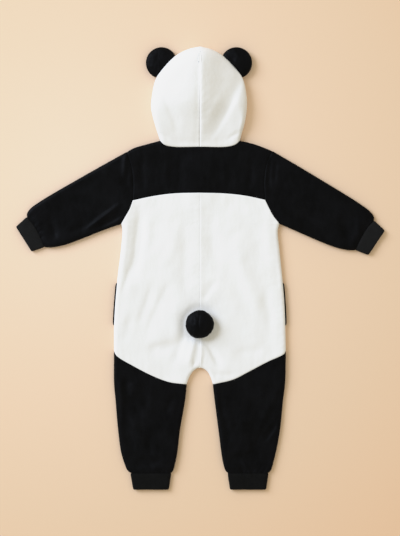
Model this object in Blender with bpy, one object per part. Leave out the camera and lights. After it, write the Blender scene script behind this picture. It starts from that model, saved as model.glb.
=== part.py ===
"""Panda onesie: a hooded toddler romper that lies flat on its front, its back facing up.

Frame: +Z up, and z = 0 is the surface it lies on. +Y points to the hood, +X to the wearer's
right. Sizes are in millimetres, and a mesh is written in metres. Every panel is a wall of
cloth through a grid of plan points. Two height fields, one for the upper layer and one for
the lower, roll over at the outline and give each point its height.
"""
from collections import namedtuple
from math import asin, cos, radians, sin

import bmesh
import bpy
import numpy as np

MM = 0.001

# Cloth
FLEECE = 3.0            # wall of the fleece and the plush, pile included
RIB = 2.4               # wall of the doubled rib in the cuffs
SEAM_GAP = 0.3          # between two pieces at a seam

# Lie of the garment
BODY_LOFT = 10.0        # height of the two layers at a rolled edge
CUFF_LOFT = 8.0
HOOD_LOFT = 23.0
BODY_ROLL = 7.0         # how far in from the outline a layer has turned flat
HOOD_ROLL_TOP = 26.0    # the top of the hood slopes down to its edge over this width
HOOD_ROLL_UNDER = 9.0
HOOD_ROLL_FROM = 266.0  # that slope widens from here on, over HOOD_ROLL_RISE
HOOD_ROLL_RISE = 60.0
MIDDLE_SAG = 0.8        # the upper layer lies lower away from its edges
SAG_FROM = 12.0         # it starts this far in from the outline, over SAG_WIDTH
SAG_WIDTH = 30.0
HOOD_RISE_FROM = 214.0  # the hood gains its height from here on, over HOOD_RISE
HOOD_RISE = 95.0

# Upper body, y upwards from the middle of the garment's length
UNDERARM_Y = 82.0
BACK_NECK_Y = 224.5
FRONT_NECK_Y = 186.0
CROTCH_Y = -184.0
CROWN_Y = 408.5
ZIP_GAP = 5.0           # a front panel's edge from the middle line
ZIP_BOTTOM_Y = -140.0
ZIP_CLOSING = 12.0      # below the zip the front panels come together over this length
HOOD_FAN_Y = 360.0      # where the hood's rows turn to run along its centre seam
FACE_ROW_BIAS = 0.7     # under the hood, rows start closer together at the crown

Body = namedtuple("Body", "y left right")
BODY_SECTIONS = [
    Body(UNDERARM_Y, 145.0, 147.5),
    Body(70, 143.0, 144.5),
    Body(36, 145.5, 147.5),
    Body(-18, 152.0, 153.0),
    Body(-68, 156.5, 157.0),
    Body(-108, 158.5, 158.5),
    Body(-152, 158.5, 159.5),
]
Leg = namedtuple("Leg", "y outer_left inner_left inner_right outer_right")
LEG_SECTIONS = [
    Leg(-214, 158.5, 23.5, 24.0, 158.0),
    Leg(-242, 156.0, 26.5, 27.0, 154.5),
    Leg(-300, 151.0, 36.3, 34.5, 148.5),
    Leg(-340, 145.5, 41.0, 39.5, 141.0),
    Leg(-360, 139.5, 45.0, 43.0, 136.0),
    Leg(-373, 134.0, 48.5, 47.0, 132.0),
]
Hood = namedtuple("Hood", "y left right")
HOOD_SECTIONS = [
    Hood(236, 73.5, 74.5),
    Hood(247, 77.0, 77.0),
    Hood(268, 83.5, 83.0),
    Hood(295, 89.5, 87.0),
    Hood(318, 88.0, 86.5),
    Hood(351, 80.0, 79.0),
    Hood(376, 62.0, 60.0),
    Hood(395, 40.0, 38.5),
    Hood(405.5, 17.0, 17.0),
    Hood(CROWN_Y, 0.0, 0.0),
]
FaceOpening = namedtuple("FaceOpening", "y half_width")
FACE_OPENING = [
    FaceOpening(FRONT_NECK_Y, ZIP_GAP),
    FaceOpening(199, 19.0),
    FaceOpening(228, 38.0),
    FaceOpening(268, 51.0),
    FaceOpening(305, 53.0),
    FaceOpening(340, 43.0),
    FaceOpening(362, 24.0),
    FaceOpening(370, 0.0),
]
Sleeve = namedtuple("Sleeve", "along above below")
SLEEVE_SECTIONS = [
    Sleeve(35, 53.2, 57.4),
    Sleeve(75, 50.3, 54.2),
    Sleeve(115, 47.3, 51.8),
    Sleeve(150, 43.8, 48.2),
    Sleeve(172, 39.8, 42.6),
    Sleeve(182, 34.5, 38.0),
]
SLEEVE_SLANT = 5.5                 # the underarm edge is this much shorter than the upper one
SLEEVE_CUFF = [(185.5, 28.5), (180.7, 10.0), (179.0, -14.0), (180.0, -36.0)]
SLEEVE_CUFF_END = [(211.0, 20.7), (204.5, -33.3)]
Lay = namedtuple("Lay", "armhole_x armhole_y droop reach")
SLEEVE_LAY = {"left": Lay(-140.0, 149.0, 25.5, 1.0), "right": Lay(140.7, 149.0, 27.0, 1.02)}

# Seams of each half, x outwards from the middle line
SHOULDER = {
    "left": [(134.5, 215.5), (121.5, 222.5), (96, 230), (73.5, 236)],
    "right": [(134.0, 217.0), (120.8, 222.5), (100, 230), (74.5, 236)],
}
YOKE_SEAM = {
    "left": [(123.4, 125.5), (83, 134), (46, 138.5), (0, 139.5)],
    "right": [(120.5, 126.5), (85.5, 134), (46.5, 138.3), (0, 139.5)],
}
ARMHOLE_ABOVE = {"left": [(125.5, 185), (122.5, 155)], "right": [(123.5, 192), (119, 158)]}
ARMHOLE_BELOW = {"left": [(129, 110), (136.3, 97)], "right": [(127.5, 112), (135.6, 97)]}
BACK_NECKLINE = [(66, 228.5), (50, BACK_NECK_Y), (0, BACK_NECK_Y)]
FRONT_NECKLINE = [(64, 217), (42, 197), (18, 187.5), (ZIP_GAP, FRONT_NECK_Y)]
LEG_SEAM = {
    "left": [(153.5, -161), (120, -181.5), (81, -201), (55, -210), (23.5, -214)],
    "right": [(155.5, -158), (127, -171.5), (88, -192), (62, -205), (24, -214)],
}
CROTCH = {
    "left": [(18.3, -200), (12.0, -190.5), (5.0, -185.0)],
    "right": [(19.2, -200), (13.5, -190.5), (5.5, -185.0)],
}
ANKLE_CUFF = {"left": (-378.5, 128.0, 52.4), "right": (-378.5, 127.0, 51.6)}      # y, out, in
ANKLE_CUFF_END = {"left": (-408.5, 122.7, 57.0), "right": (-408.5, 122.5, 56.2)}
CUFF_DRAWN_FROM = {"leg": 366.0, "sleeve": 168.0}    # the cloth grows thinner towards a cuff
CUFF_DRAWN_OVER = 12.0

# Largest folds of the upper layer: soft ridges (height > 0) and troughs along a bowed line.
# left and right are the widths of the two flanks, seen along the line. bow is to the right.
Fold = namedtuple("Fold", "x0 y0 x1 y1 left right height bow", defaults=(0.0,))
FOLDS = [
    Fold(-111, 112, -129, -22, 10, 9, -3.2, -6),     # beside the left side seam
    Fold(-88, -28, -114, -104, 11, 8, -1.2, -2),
    Fold(-52, -24, -96, -122, 12, 8, -1.3, 4),
    Fold(62, 60, 116, -92, 16, 14, 2.2, 3),
    Fold(16, 118, 26, -6, 15, 12, -1.6, -3),
    Fold(-48, -66, -44, -128, 13, 16, 1.4),          # by the tail, and the star below it
    Fold(-26, -114, -44, -172, 8, 9, -2.2),
    Fold(-7, -122, -21, -178, 8, 8, 2.8),
    Fold(10, -132, 38, -182, 8, 8, -2.4),
    Fold(-96, -150, -36, -140, 9, 12, -2.2),
    Fold(-208, 72, -146, 119, 7, 8, 2.6),            # sleeves
    Fold(-276, 98, -266, 54, 8, 9, -2.6),
    Fold(262, 98, 276, 46, 14, 10, -3.2),
    Fold(150, 126, 222, 82, 8, 9, -1.8, 2),
    Fold(131, 208, 127, 150, 7, 7, -1.6),
    Fold(-147, -196, -143, -300, 7, 8, 1.4),         # legs
    Fold(-130, -238, -104, -276, 9, 9, -2.0),
    Fold(-140, -282, -122, -336, 8, 8, -2.2),
    Fold(41, -226, 54, -318, 9, 9, -2.0),
    Fold(78, -268, 82, -330, 14, 12, 1.6),
    Fold(142, -284, 118, -320, 7, 7, -1.8),
    Fold(-122, -360, -70, -356, 8, 9, -2.2),
    Fold(52, -352, 112, -346, 9, 10, -2.6),
]
HOOD_FOLDS = [
    Fold(2, 200, 2, 424, 70, 30, 8.0),               # the crest, steeper on its right
    Fold(2, 280, 2, 440, 70, 62, 8.0),
    Fold(-6, 209, 84, 375, 14, 9, -3.4, 11),         # the long slanting fold
    Fold(-76, 330, -40, 240, 13, 8, -1.4, -5),
]
NECK_HOLD = 20.0             # the neck seam holds the hood's folds flat over this length
LOW_SLACK = 0.2              # share of them that is left where the hood starts to rise
FOLD_CLEAR = 2.0             # a fold has died out this close to the outline
FOLD_CLEAR_OVER = 10.0       # and has its full height this much farther in
LEAST_HOLLOW = 0.4           # left between the layers where a fold comes down on the lower

# Trims
EAR_RADIUS = 29.0
EAR_LOFT = 17.0
EAR_RIM = 1.6                # half the thickness at an ear's seam
EARS_FACE_FROM = (0.0, 300.0)
EAR_CENTRES = {"left": (-70.3, 379.0), "right": (67.7, 379.0)}
TAIL_RADIUS = 26.0
TAIL_HEIGHT = 24.0
TAIL_FOOT = 15.0             # radius of the ball where it is sewn on
TAIL_Y = -103.0
Ring = namedtuple("Ring", "x y radius inside outside height")
TAIL_RING = Ring(0.0, TAIL_Y, 25.0, 6.0, 11.0, -4.0)     # the back, drawn down round the tail
WELT = 2.6                   # thickness of the folded pocket strip
WELT_CLEAR = 0.5             # between the strip and the panels it is turned round
WELT_FROM_Y = -27.0
WELT_TO_Y = -105.0
WELT_TURN = (-32.0, 18.0)    # how far it reaches round the edge, in degrees

# Zip, heights above the lower face of the front where it lies
ZIP_LIFT = 2.6               # the front lies this much higher at the slider
ZIP_LIFT_WIDTH = 26.0
Lift = namedtuple("Lift", "from_y full_from full_to to_y")
ZIP_LIFT_ROWS = Lift(80.0, 148.0, 196.0, 220.0)
TAPE = 1.0
TAPE_EDGE = 15.0
TAPE_TO_Y = ZIP_BOTTOM_Y + 8.0
TEETH_EDGE = 2.6
TEETH_SLOPE = 0.6
TEETH_DEPTH = 0.8
OPEN_TEETH = 0.25            # share of that depth above the slider, where the teeth spread
OPEN_TAPE_EDGE = 2.3         # inner edge of a tape above the slider's wedge
OPEN_FROM_Y = 176.5
SLIDER_FROM_Y = 170.0
SLIDER_TO_Y = 180.0
SLIDER_HALF_WIDTH = 4.0
SLIDER_PLATE = 1.0
WEDGE_FROM_Y = 177.0
WEDGE_HALF_WIDTH = 2.0
LUG_INNER = 2.9
HINGE_Y = 172.0
HINGE_Z = 2.0
LUG_REACH = 0.9              # of a lug past the hinge, along Y
PIN_RADIUS = 0.5
EYE_HOLE = 0.8
EYE_RADIUS = 1.5
PULL_LENGTH = 20.0
PULL_HALF_WIDTH = 2.6
PULL_THICK = 1.2
PULL_DROOP = 3.6             # degrees, so that its tip lies on the surface

SIDES = {"left": -1.0, "right": 1.0}
ROLL_STEPS = [0.0, 48.0, 90.0]     # turn of a layer over its rolled edge, in degrees
PROBE = 0.25                       # step for a height field's slope
NEAR_EDGE = 1.0                    # closer to the outline the slope follows from the roll
LEAST_WALL = 0.05                  # share of its thickness that a pinched wall keeps


def material(name, colour, roughness, metallic=0.0):
    mat = bpy.data.materials.get(name) or bpy.data.materials.new(name)
    mat.use_nodes = True
    shader = mat.node_tree.nodes["Principled BSDF"]
    shader.inputs["Base Color"].default_value = (*colour, 1.0)
    shader.inputs["Roughness"].default_value = roughness
    shader.inputs["Metallic"].default_value = metallic
    mat.diffuse_color = (*colour, 1.0)
    return mat


def smooth(t):
    t = np.clip(t, 0.0, 1.0)
    return t * t * (3.0 - 2.0 * t)


# Plan curves ------------------------------------------------------------------------------

class Curve:
    """A smooth plan curve through a few points, read by the distance along it."""

    def __init__(self, points, fine=12):
        pts = np.array(points, float)
        if len(pts) > 2:
            ends = [2 * pts[0] - pts[1], *pts, 2 * pts[-1] - pts[-2]]
            runs = []
            for p0, p1, p2, p3 in zip(ends, ends[1:], ends[2:], ends[3:]):
                runs.append(catmull_rom(p0, p1, p2, p3, fine))
            pts = np.vstack(runs + [pts[-1:]])
        self.points = pts
        self.measure()

    def measure(self):
        steps = np.linalg.norm(np.diff(self.points, axis=0), axis=1)
        self.along = np.concatenate([[0.0], np.cumsum(steps)])
        self.length = self.along[-1]

    def at(self, s):
        s = np.asarray(s, float)
        return np.stack([np.interp(s, self.along, self.points[:, k]) for k in (0, 1)], -1)


def catmull_rom(p0, p1, p2, p3, steps):
    """Points from p1 up to p2 on the centripetal Catmull-Rom curve."""
    knots = [0.0]
    for a, b in ((p0, p1), (p1, p2), (p2, p3)):
        knots.append(knots[-1] + np.linalg.norm(np.subtract(b, a)) ** 0.5)
    t = np.linspace(knots[1], knots[2], steps, endpoint=False)[:, None]

    def mix(a, b, i, j):
        return (knots[j] - t) / (knots[j] - knots[i]) * a + (t - knots[i]) / (knots[j] - knots[i]) * b

    a1, a2, a3 = mix(p0, p1, 0, 1), mix(p1, p2, 1, 2), mix(p2, p3, 2, 3)
    return mix(mix(a1, a2, 0, 2), mix(a2, a3, 1, 3), 1, 2)


def roll_offsets(reach):
    """Distances in from a rolled edge at which its rows lie."""
    return [reach * (1.0 - cos(radians(a))) for a in ROLL_STEPS]


def stations(length, count, start=(0.0,), end=(0.0,)):
    """Distances along a curve: the start's own, count even steps, and the end's, mirrored."""
    first, last = start[-1], length - end[-1]
    middle = np.linspace(first, last, count + 1)
    return np.array([*start[:-1], *middle, *[length - e for e in reversed(end[:-1])]])


def polyline(points):
    """A curve through points that are close enough together already."""
    curve = Curve(points[:2])
    curve.points = np.array(points, float)
    curve.measure()
    return curve


def joined(*curves):
    """One curve out of several, end to end, with the corners between them kept."""
    return polyline(np.vstack([c.points if k == 0 else c.points[1:]
                               for k, c in enumerate(curves)]))


def turned(curve):
    return polyline(curve.points[::-1])


def cut_at_zip(curve, sign):
    """The curve as far as the zip's edge."""
    from_middle = curve.points[::-1]
    y = np.interp(ZIP_GAP, np.abs(from_middle[:, 0]), from_middle[:, 1])
    keep = curve.points[np.abs(curve.points[:, 0]) > ZIP_GAP + 0.5]
    return polyline([*keep, (sign * ZIP_GAP, y)])


# The garment's plan -----------------------------------------------------------------------

class Half:
    """The curves of one half of the garment, on the left or on the right."""

    def __init__(self, side):
        sign = SIDES[side]
        lay = SLEEVE_LAY[side]
        out = (cos(radians(lay.droop)) * sign, -sin(radians(lay.droop)))
        up = (sin(radians(lay.droop)) * sign, cos(radians(lay.droop)))

        def place(points):
            return [(sign * x, y) for x, y in points]

        def on_sleeve(along, off):
            along *= lay.reach
            return (lay.armhole_x + along * out[0] + off * up[0],
                    lay.armhole_y + along * out[1] + off * up[1])

        shoulder = place(SHOULDER[side])
        shoulder_end, neck_corner = shoulder[0], shoulder[-1]
        yoke = place(YOKE_SEAM[side])
        underarm = (sign * getattr(BODY_SECTIONS[0], side), UNDERARM_Y)
        body = [(sign * getattr(row, side), row.y) for row in BODY_SECTIONS]
        outer = [(sign * getattr(row, "outer_" + side), row.y) for row in LEG_SECTIONS]
        inner = [(sign * getattr(row, "inner_" + side), row.y) for row in LEG_SECTIONS]
        hood = [(sign * getattr(row, side), row.y) for row in HOOD_SECTIONS]
        cuff_y, cuff_out, cuff_in = ANKLE_CUFF[side]
        end_y, end_out, end_in = ANKLE_CUFF_END[side]
        above = [on_sleeve(row.along, row.above) for row in SLEEVE_SECTIONS]
        shorter = 1.0 - SLEEVE_SLANT / SLEEVE_SECTIONS[-1].along
        below = [on_sleeve(row.along * shorter, -row.below) for row in SLEEVE_SECTIONS[1:]]
        cuff = [on_sleeve(*p) for p in SLEEVE_CUFF]
        cuff_end = [on_sleeve(*p) for p in SLEEVE_CUFF_END]
        leg_seam = [body[-1], *place(LEG_SEAM[side])]
        crotch = (0.0, CROTCH_Y)
        crown = (0.0, CROWN_Y)

        self.side, self.sign = side, sign
        self.shoulder = Curve(shoulder)
        self.armhole_upper = Curve([shoulder_end, *place(ARMHOLE_ABOVE[side]), yoke[0]])
        self.armhole_lower = Curve([yoke[0], *place(ARMHOLE_BELOW[side]), underarm])
        self.yoke_seam = Curve(yoke)
        self.back_neckline = Curve([neck_corner, *place(BACK_NECKLINE)])
        self.front_neckline = Curve([neck_corner, *place(FRONT_NECKLINE)])
        self.side_edge = Curve(body)
        self.leg_seam = Curve(leg_seam)
        self.crotch_edge = Curve([inner[0], *place(CROTCH[side]), crotch])
        self.leg_outer = Curve([body[-1], *outer, (sign * cuff_out, cuff_y)])
        self.leg_inner = Curve([*inner, (sign * cuff_in, cuff_y)])
        self.ankle_seam = Curve([(sign * cuff_out, cuff_y), (sign * cuff_in, cuff_y)])
        self.ankle_end = Curve([(sign * end_out, end_y), (sign * end_in, end_y)])
        self.sleeve_above = Curve([shoulder_end, *above, cuff[0]])
        self.sleeve_below = Curve([underarm, *below, cuff[-1]])
        self.cuff_seam = Curve(cuff)
        self.cuff_end = Curve(cuff_end)
        self.hood_edge = Curve(hood)
        self.hood_seam = Curve([(0.0, BACK_NECK_Y), (0.0, HOOD_FAN_Y)])
        self.hood_crown = Curve([(0.0, HOOD_FAN_Y), crown])
        self.face_edge = Curve([(sign * row.half_width, row.y) for row in FACE_OPENING])
        self.brow = Curve([crown, (0.0, FACE_OPENING[-1].y)])
        self.yoke_middle = Curve([(0.0, yoke[-1][1]), (0.0, BACK_NECK_Y)])
        self.back_middle = Curve([(0.0, yoke[-1][1]), crotch])
        self.yoke_seam_front = cut_at_zip(self.yoke_seam, sign)
        zip_x, zip_y = self.yoke_seam_front.points[-1]
        self.zip_yoke = Curve([(zip_x, zip_y), (zip_x, FRONT_NECK_Y)])
        self.zip_front = Curve([(zip_x, zip_y), (zip_x, ZIP_BOTTOM_Y)])
        closed_from = (0.0, ZIP_BOTTOM_Y - ZIP_CLOSING)
        self.front_closed = polyline([(zip_x, ZIP_BOTTOM_Y), closed_from, crotch])

    def sleeve_cuff_sides(self):
        ends = [self.cuff_seam.points, self.cuff_end.points]
        return (Curve([ends[0][0], ends[1][0]]), Curve([ends[0][-1], ends[1][-1]]))

    def ankle_cuff_sides(self):
        ends = [self.ankle_seam.points, self.ankle_end.points]
        return (Curve([ends[0][0], ends[1][0]]), Curve([ends[0][-1], ends[1][-1]]))

    def rolled_edges(self):
        """The outline of this half, as chains of points, without the cuffs' open ends."""
        arm_top, arm_low = self.sleeve_cuff_sides()
        leg_out, leg_in = self.ankle_cuff_sides()
        over = [arm_top.points[::-1], self.sleeve_above.points[::-1], self.shoulder.points,
                self.hood_edge.points]
        outer = [arm_low.points[::-1], self.sleeve_below.points[::-1], self.side_edge.points,
                 self.leg_outer.points, leg_out.points]
        inner = [leg_in.points[::-1], self.leg_inner.points[::-1], self.crotch_edge.points]
        return [np.vstack([c if k == 0 else c[1:] for k, c in enumerate(chain)])
                for chain in (over, outer, inner)]


HALVES = {side: Half(side) for side in SIDES}


class Outline:
    """Distance in from the garment's outline, and the way out to it."""

    def __init__(self, halves):
        starts, ends, normals, corners, corner_normals = [], [], [], [], []
        for half in halves:
            turn = half.sign
            for chain, flip in zip(half.rolled_edges(), (1.0, -1.0, -1.0)):
                step = np.diff(chain, axis=0)
                out = np.stack([step[:, 1], -step[:, 0]], -1) * turn * flip
                out /= np.linalg.norm(out, axis=1)[:, None]
                starts.append(chain[:-1])
                ends.append(chain[1:])
                normals.append(out)
                both = np.vstack([out[:1], out[:-1] + out[1:], out[-1:]])
                corners.append(chain)
                corner_normals.append(both / np.linalg.norm(both, axis=1)[:, None])
        self.a, self.b, self.normal = map(np.vstack, (starts, ends, normals))
        self.corner, self.corner_normal = np.vstack(corners), np.vstack(corner_normals)

    def distance(self, points):
        p = points[:, None, :]
        run = self.b - self.a
        t = np.clip(((p - self.a) * run).sum(-1) / (run * run).sum(-1), 0.0, 1.0)
        near = self.a + t[..., None] * run
        gap = np.linalg.norm(p - near, axis=-1)
        return gap.min(axis=1)

    def way_out(self, points):
        """The outline's own normal at the corner point nearest to each point."""
        gap = np.linalg.norm(points[:, None, :] - self.corner, axis=-1)
        return self.corner_normal[gap.argmin(axis=1)]


OUTLINE = Outline(HALVES.values())


# Height fields ----------------------------------------------------------------------------

def cuff_share(x, y):
    """1 on a cuff and 0 on the cloth above it, with a short run between."""
    share = smooth((-y - CUFF_DRAWN_FROM["leg"]) / CUFF_DRAWN_OVER)
    for side, lay in SLEEVE_LAY.items():
        out = (cos(radians(lay.droop)) * SIDES[side], -sin(radians(lay.droop)))
        along = ((x - lay.armhole_x) * out[0] + (y - lay.armhole_y) * out[1]) / lay.reach
        share = np.maximum(share, smooth((along - CUFF_DRAWN_FROM["sleeve"]) / CUFF_DRAWN_OVER))
    return share


def hood_share(y):
    return smooth((y - HOOD_RISE_FROM) / HOOD_RISE)


def loft(x, y):
    """Height of the garment's two layers together at a rolled edge."""
    hood = hood_share(y) * (HOOD_LOFT - BODY_LOFT)
    return BODY_LOFT + hood - cuff_share(x, y) * (BODY_LOFT - CUFF_LOFT)


def zip_lift(x, y):
    lift = ZIP_LIFT_ROWS
    rising = smooth((y - lift.from_y) / (lift.full_from - lift.from_y))
    falling = smooth((y - lift.full_to) / (lift.to_y - lift.full_to))
    aside = smooth((np.abs(x) - TAPE_EDGE) / ZIP_LIFT_WIDTH)
    return ZIP_LIFT * rising * (1.0 - falling) * (1.0 - aside)


def fold_height(x, y, folds):
    """Folds are strongest in the middle of their line and fade towards its ends."""
    total = np.zeros_like(x)
    for fold in folds:
        run = np.array([fold.x1 - fold.x0, fold.y1 - fold.y0])
        length = np.linalg.norm(run)
        t = ((x - fold.x0) * run[0] + (y - fold.y0) * run[1]) / length ** 2
        fade = smooth((t + 0.12) / 0.42) * smooth((1.12 - t) / 0.42)
        off = ((x - fold.x0) * run[1] - (y - fold.y0) * run[0]) / length
        off -= fold.bow * (1.0 - (2.0 * t - 1.0) ** 2)
        flank = np.where(off > 0, fold.right, fold.left)
        total += fold.height * fade * np.exp(-(off / flank) ** 2)
    return total


def ring_height(x, y, ring):
    off = np.hypot(x - ring.x, y - ring.y) - ring.radius
    return ring.height * np.exp(-(off / np.where(off > 0, ring.outside, ring.inside)) ** 2)


def roll_reach(y, upper):
    """How far in from the outline a layer has turned flat."""
    if not upper:
        return BODY_ROLL + hood_share(y) * (HOOD_ROLL_UNDER - BODY_ROLL)
    return BODY_ROLL + smooth((y - HOOD_ROLL_FROM) / HOOD_ROLL_RISE) * (HOOD_ROLL_TOP - BODY_ROLL)


def height(points, upper):
    """Height of the outer face of the upper or the lower layer over plan points."""
    x, y = points[:, 0], points[:, 1]
    inset = OUTLINE.distance(points)
    half = loft(x, y) / 2.0
    turned = np.clip(inset / roll_reach(y, upper), 0.0, 1.0)
    swell = np.sqrt(1.0 - (1.0 - turned) ** 2)
    if not upper:
        return half * (1.0 - swell) + zip_lift(x, y)
    sag = MIDDLE_SAG * smooth((inset - SAG_FROM) / SAG_WIDTH) * (1.0 - hood_share(y))
    room = np.maximum(2.0 * half * swell - sag - 2.0 * FLEECE - LEAST_HOLLOW, 0.0)
    folds = fold_height(x, y, FOLDS) + ring_height(x, y, TAIL_RING)
    folds *= smooth((inset - FOLD_CLEAR) / FOLD_CLEAR_OVER)
    held = smooth((y - BACK_NECK_Y) / NECK_HOLD) * (LOW_SLACK + (1.0 - LOW_SLACK) * hood_share(y))
    folds += fold_height(x, y, HOOD_FOLDS) * held * swell
    folds = np.maximum(folds, -room)
    return half * (1.0 + swell) - sag + folds + zip_lift(x, y)


def lay_flat(grid, edge, upper, seams=(), gap=0.0):
    """Points and outward normals of a layer over a grid of plan points.

    edge marks the points on a rolled edge, where the layer stands upright and stops half
    the gap short of the other layer. Along a seam the normals stay in the seam's own
    upright plane, so that its two walls don't cross. Where a wall of full thickness would
    reach into the other layer, the normal is shorter than 1 and the wall is thinner.
    """
    flat = grid.reshape(-1, 2)
    edge = edge.reshape(-1)
    facing = 1.0 if upper else -1.0
    z = height(flat, upper)
    slope = [(height(flat + step, upper) - height(flat - step, upper)) / (2 * PROBE)
             for step in (np.array([PROBE, 0.0]), np.array([0.0, PROBE]))]
    normal = np.stack([-slope[0] * facing, -slope[1] * facing, np.full_like(z, facing)], -1)
    near = (OUTLINE.distance(flat) < NEAR_EDGE) & ~edge
    normal[near] = rolled_normal(flat[near], upper)
    normal[edge, :2] = OUTLINE.way_out(flat[edge])
    normal[edge, 2] = 0.0
    stop = loft(flat[:, 0], flat[:, 1]) / 2.0 + facing * gap / 2.0
    z = np.where(edge, stop, facing * np.maximum(facing * z, facing * stop))

    normal = normal.reshape(*grid.shape[:-1], 3)
    for seam in seams:
        across, normals = seam.across(grid), seam.rim(normal)
        normals[:, :2] -= (normals[:, :2] * across).sum(1)[:, None] * across
    normal /= np.linalg.norm(normal, axis=-1)[..., None]
    room = (facing * (z - stop) / FLEECE).reshape(grid.shape[:-1])
    steep = np.maximum(facing * normal[..., 2], 1e-9)
    normal *= np.clip(room / steep, LEAST_WALL, 1.0)[..., None] ** (steep > 1e-6)[..., None]
    return np.concatenate([grid, z.reshape(*grid.shape[:-1], 1)], axis=-1), normal


def rolled_normal(points, upper):
    """The normal of the rolled edge's ellipse at points close to the outline."""
    out = OUTLINE.way_out(points)
    half = loft(points[:, 0], points[:, 1]) / 2.0
    reach = roll_reach(points[:, 1], upper)
    level = 1.0 - np.clip(OUTLINE.distance(points) / reach, 0.0, 1.0)
    rise = reach * np.sqrt(1.0 - level ** 2) * (1.0 if upper else -1.0)
    return np.column_stack([out * (half * level)[:, None], rise])


# Panels -----------------------------------------------------------------------------------

def patch(first, last, start, end):
    """Grid of plan points inside four curves, each given as (curve, distances along it).

    first and last run along i, at the first and the last j. start and end run along j.
    """
    (c0, s0), (c1, s1), (d0, r0), (d1, r1) = first, last, start, end
    low, high, near, far = c0.at(s0), c1.at(s1), d0.at(r0), d1.at(r1)
    u0, u1 = np.array(s0) / c0.length, np.array(s1) / c1.length
    v0, v1 = np.array(r0) / d0.length, np.array(r1) / d1.length
    v = np.broadcast_to((v0 + v1)[None, :] / 2, (len(u0), len(v0)))
    for _ in range(3):
        u = u0[:, None] * (1 - v) + u1[:, None] * v
        v = v0[None, :] * (1 - u) + v1[None, :] * u
    u, v = u[..., None], v[..., None]
    return ((1 - v) * low[:, None] + v * high[:, None] + (1 - u) * near[None] + u * far[None]
            - (1 - u) * (1 - v) * low[0] - u * (1 - v) * low[-1]
            - (1 - u) * v * high[0] - u * v * high[-1])


def no_edge(grid):
    return np.zeros(grid.shape[:2], bool)


class Seam:
    """One edge of a panel's grid, or a stretch of it, that is sewn to another panel."""

    def __init__(self, edge, start=None, stop=None):
        self.edge, self.stretch = edge, slice(start, stop)

    def rim(self, array, inset=0):
        row = inset if self.edge in ("first", "start") else -1 - inset
        return array[self.stretch, row] if self.edge in ("first", "last") else array[row, self.stretch]

    def across(self, grid):
        """Unit plan directions square to the seam, one for each of its points."""
        along = np.gradient(self.rim(grid), axis=0)
        across = np.stack([-along[:, 1], along[:, 0]], -1)
        return across / np.linalg.norm(across, axis=1)[:, None]


def draw_in(grid, seams):
    """Moves each seam's row of a grid half a seam gap into the panel."""
    moves = []
    for seam in seams:
        across = seam.across(grid)
        inward = ((seam.rim(grid, 1) - seam.rim(grid)) * across).sum(1)
        moves.append(across * np.sign(inward)[:, None] * SEAM_GAP / 2.0)
    for seam, move in zip(seams, moves):
        seam.rim(grid)[...] += move


def sew(name, grid, edge, upper, thick, mat, seams):
    return wall(name, *lay_flat(grid, edge, upper, seams, SEAM_GAP), thick, mat)


def wall(name, outer, normal, thick, mat, ring=False):
    """A closed wall of cloth under a grid of outer points. A ring is closed along i."""
    count_i, count_j = outer.shape[:2]
    inner = outer - normal * thick
    verts = np.concatenate([outer.reshape(-1, 3), inner.reshape(-1, 3)]) * MM
    total = count_i * count_j

    def at(i, j, layer):
        return layer * total + (i % count_i) * count_j + j

    faces = []
    spans = count_i if ring else count_i - 1
    for i in range(spans):
        for j in range(count_j - 1):
            loop = [(i, j), (i + 1, j), (i + 1, j + 1), (i, j + 1)]
            faces.append([at(a, b, 0) for a, b in loop])
            faces.append([at(a, b, 1) for a, b in reversed(loop)])
        for j, step in ((0, 1), (count_j - 1, -1)):
            rim = [at(i + 1, j, 0), at(i, j, 0), at(i, j, 1), at(i + 1, j, 1)]
            faces.append(rim[::step])
    if not ring:
        for j in range(count_j - 1):
            for i, step in ((0, 1), (count_i - 1, -1)):
                rim = [at(i, j, 0), at(i, j + 1, 0), at(i, j + 1, 1), at(i, j, 1)]
                faces.append(rim[::step])
    return add_mesh(name, verts, faces, mat)


def add_mesh(name, verts, faces, mat):
    """One object. Faces of four points are split along their shorter diagonal."""
    verts = np.asarray(verts, float)
    split = []
    for face in faces:
        if len(face) == 4:
            a, b, c, d = face
            if np.linalg.norm(verts[a] - verts[c]) > np.linalg.norm(verts[b] - verts[d]):
                a, b, c, d = b, c, d, a
            split += [(a, b, c), (a, c, d)]
        else:
            split.append(tuple(face))
    mesh = bpy.data.meshes.new(name)
    mesh.from_pydata([tuple(v) for v in verts], [], split)
    bm = bmesh.new()
    bm.from_mesh(mesh)
    bmesh.ops.recalc_face_normals(bm, faces=bm.faces)
    bm.to_mesh(mesh)
    bm.free()
    mesh.shade_smooth()
    mesh.materials.append(mat)
    obj = bpy.data.objects.new(name, mesh)
    bpy.context.scene.collection.objects.link(obj)
    return obj


class Rows:
    """Distances along each curve of one half, shared by the panels that meet there."""

    def __init__(self, half):
        roll = roll_offsets(BODY_ROLL)
        near_cuff = (0.0, 6.0, 14.0)
        self.shoulder = stations(half.shoulder.length, 4)
        self.back_neckline = stations(half.back_neckline.length, 4, start=roll)
        self.front_neckline = stations(half.front_neckline.length, 4, start=roll)
        self.armhole_upper = stations(half.armhole_upper.length, 5, start=roll)
        self.armhole_lower = stations(half.armhole_lower.length, 3, end=roll)
        self.side = stations(half.side_edge.length, 9)
        self.leg_seam = stations(half.leg_seam.length, 5, start=roll, end=roll)
        self.crotch = stations(half.crotch_edge.length, 4)
        self.sleeve = stations(half.sleeve_above.length, 8, end=near_cuff)
        self.leg = stations(half.leg_outer.length, 8, end=near_cuff)
        self.hood = stations(half.hood_edge.length, 12, start=(0.0, BODY_ROLL))


def share(stations_on, curve_from, curve_to):
    """The same places on another curve, as shares of its length."""
    return np.array(stations_on) / curve_from.length * curve_to.length


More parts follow.
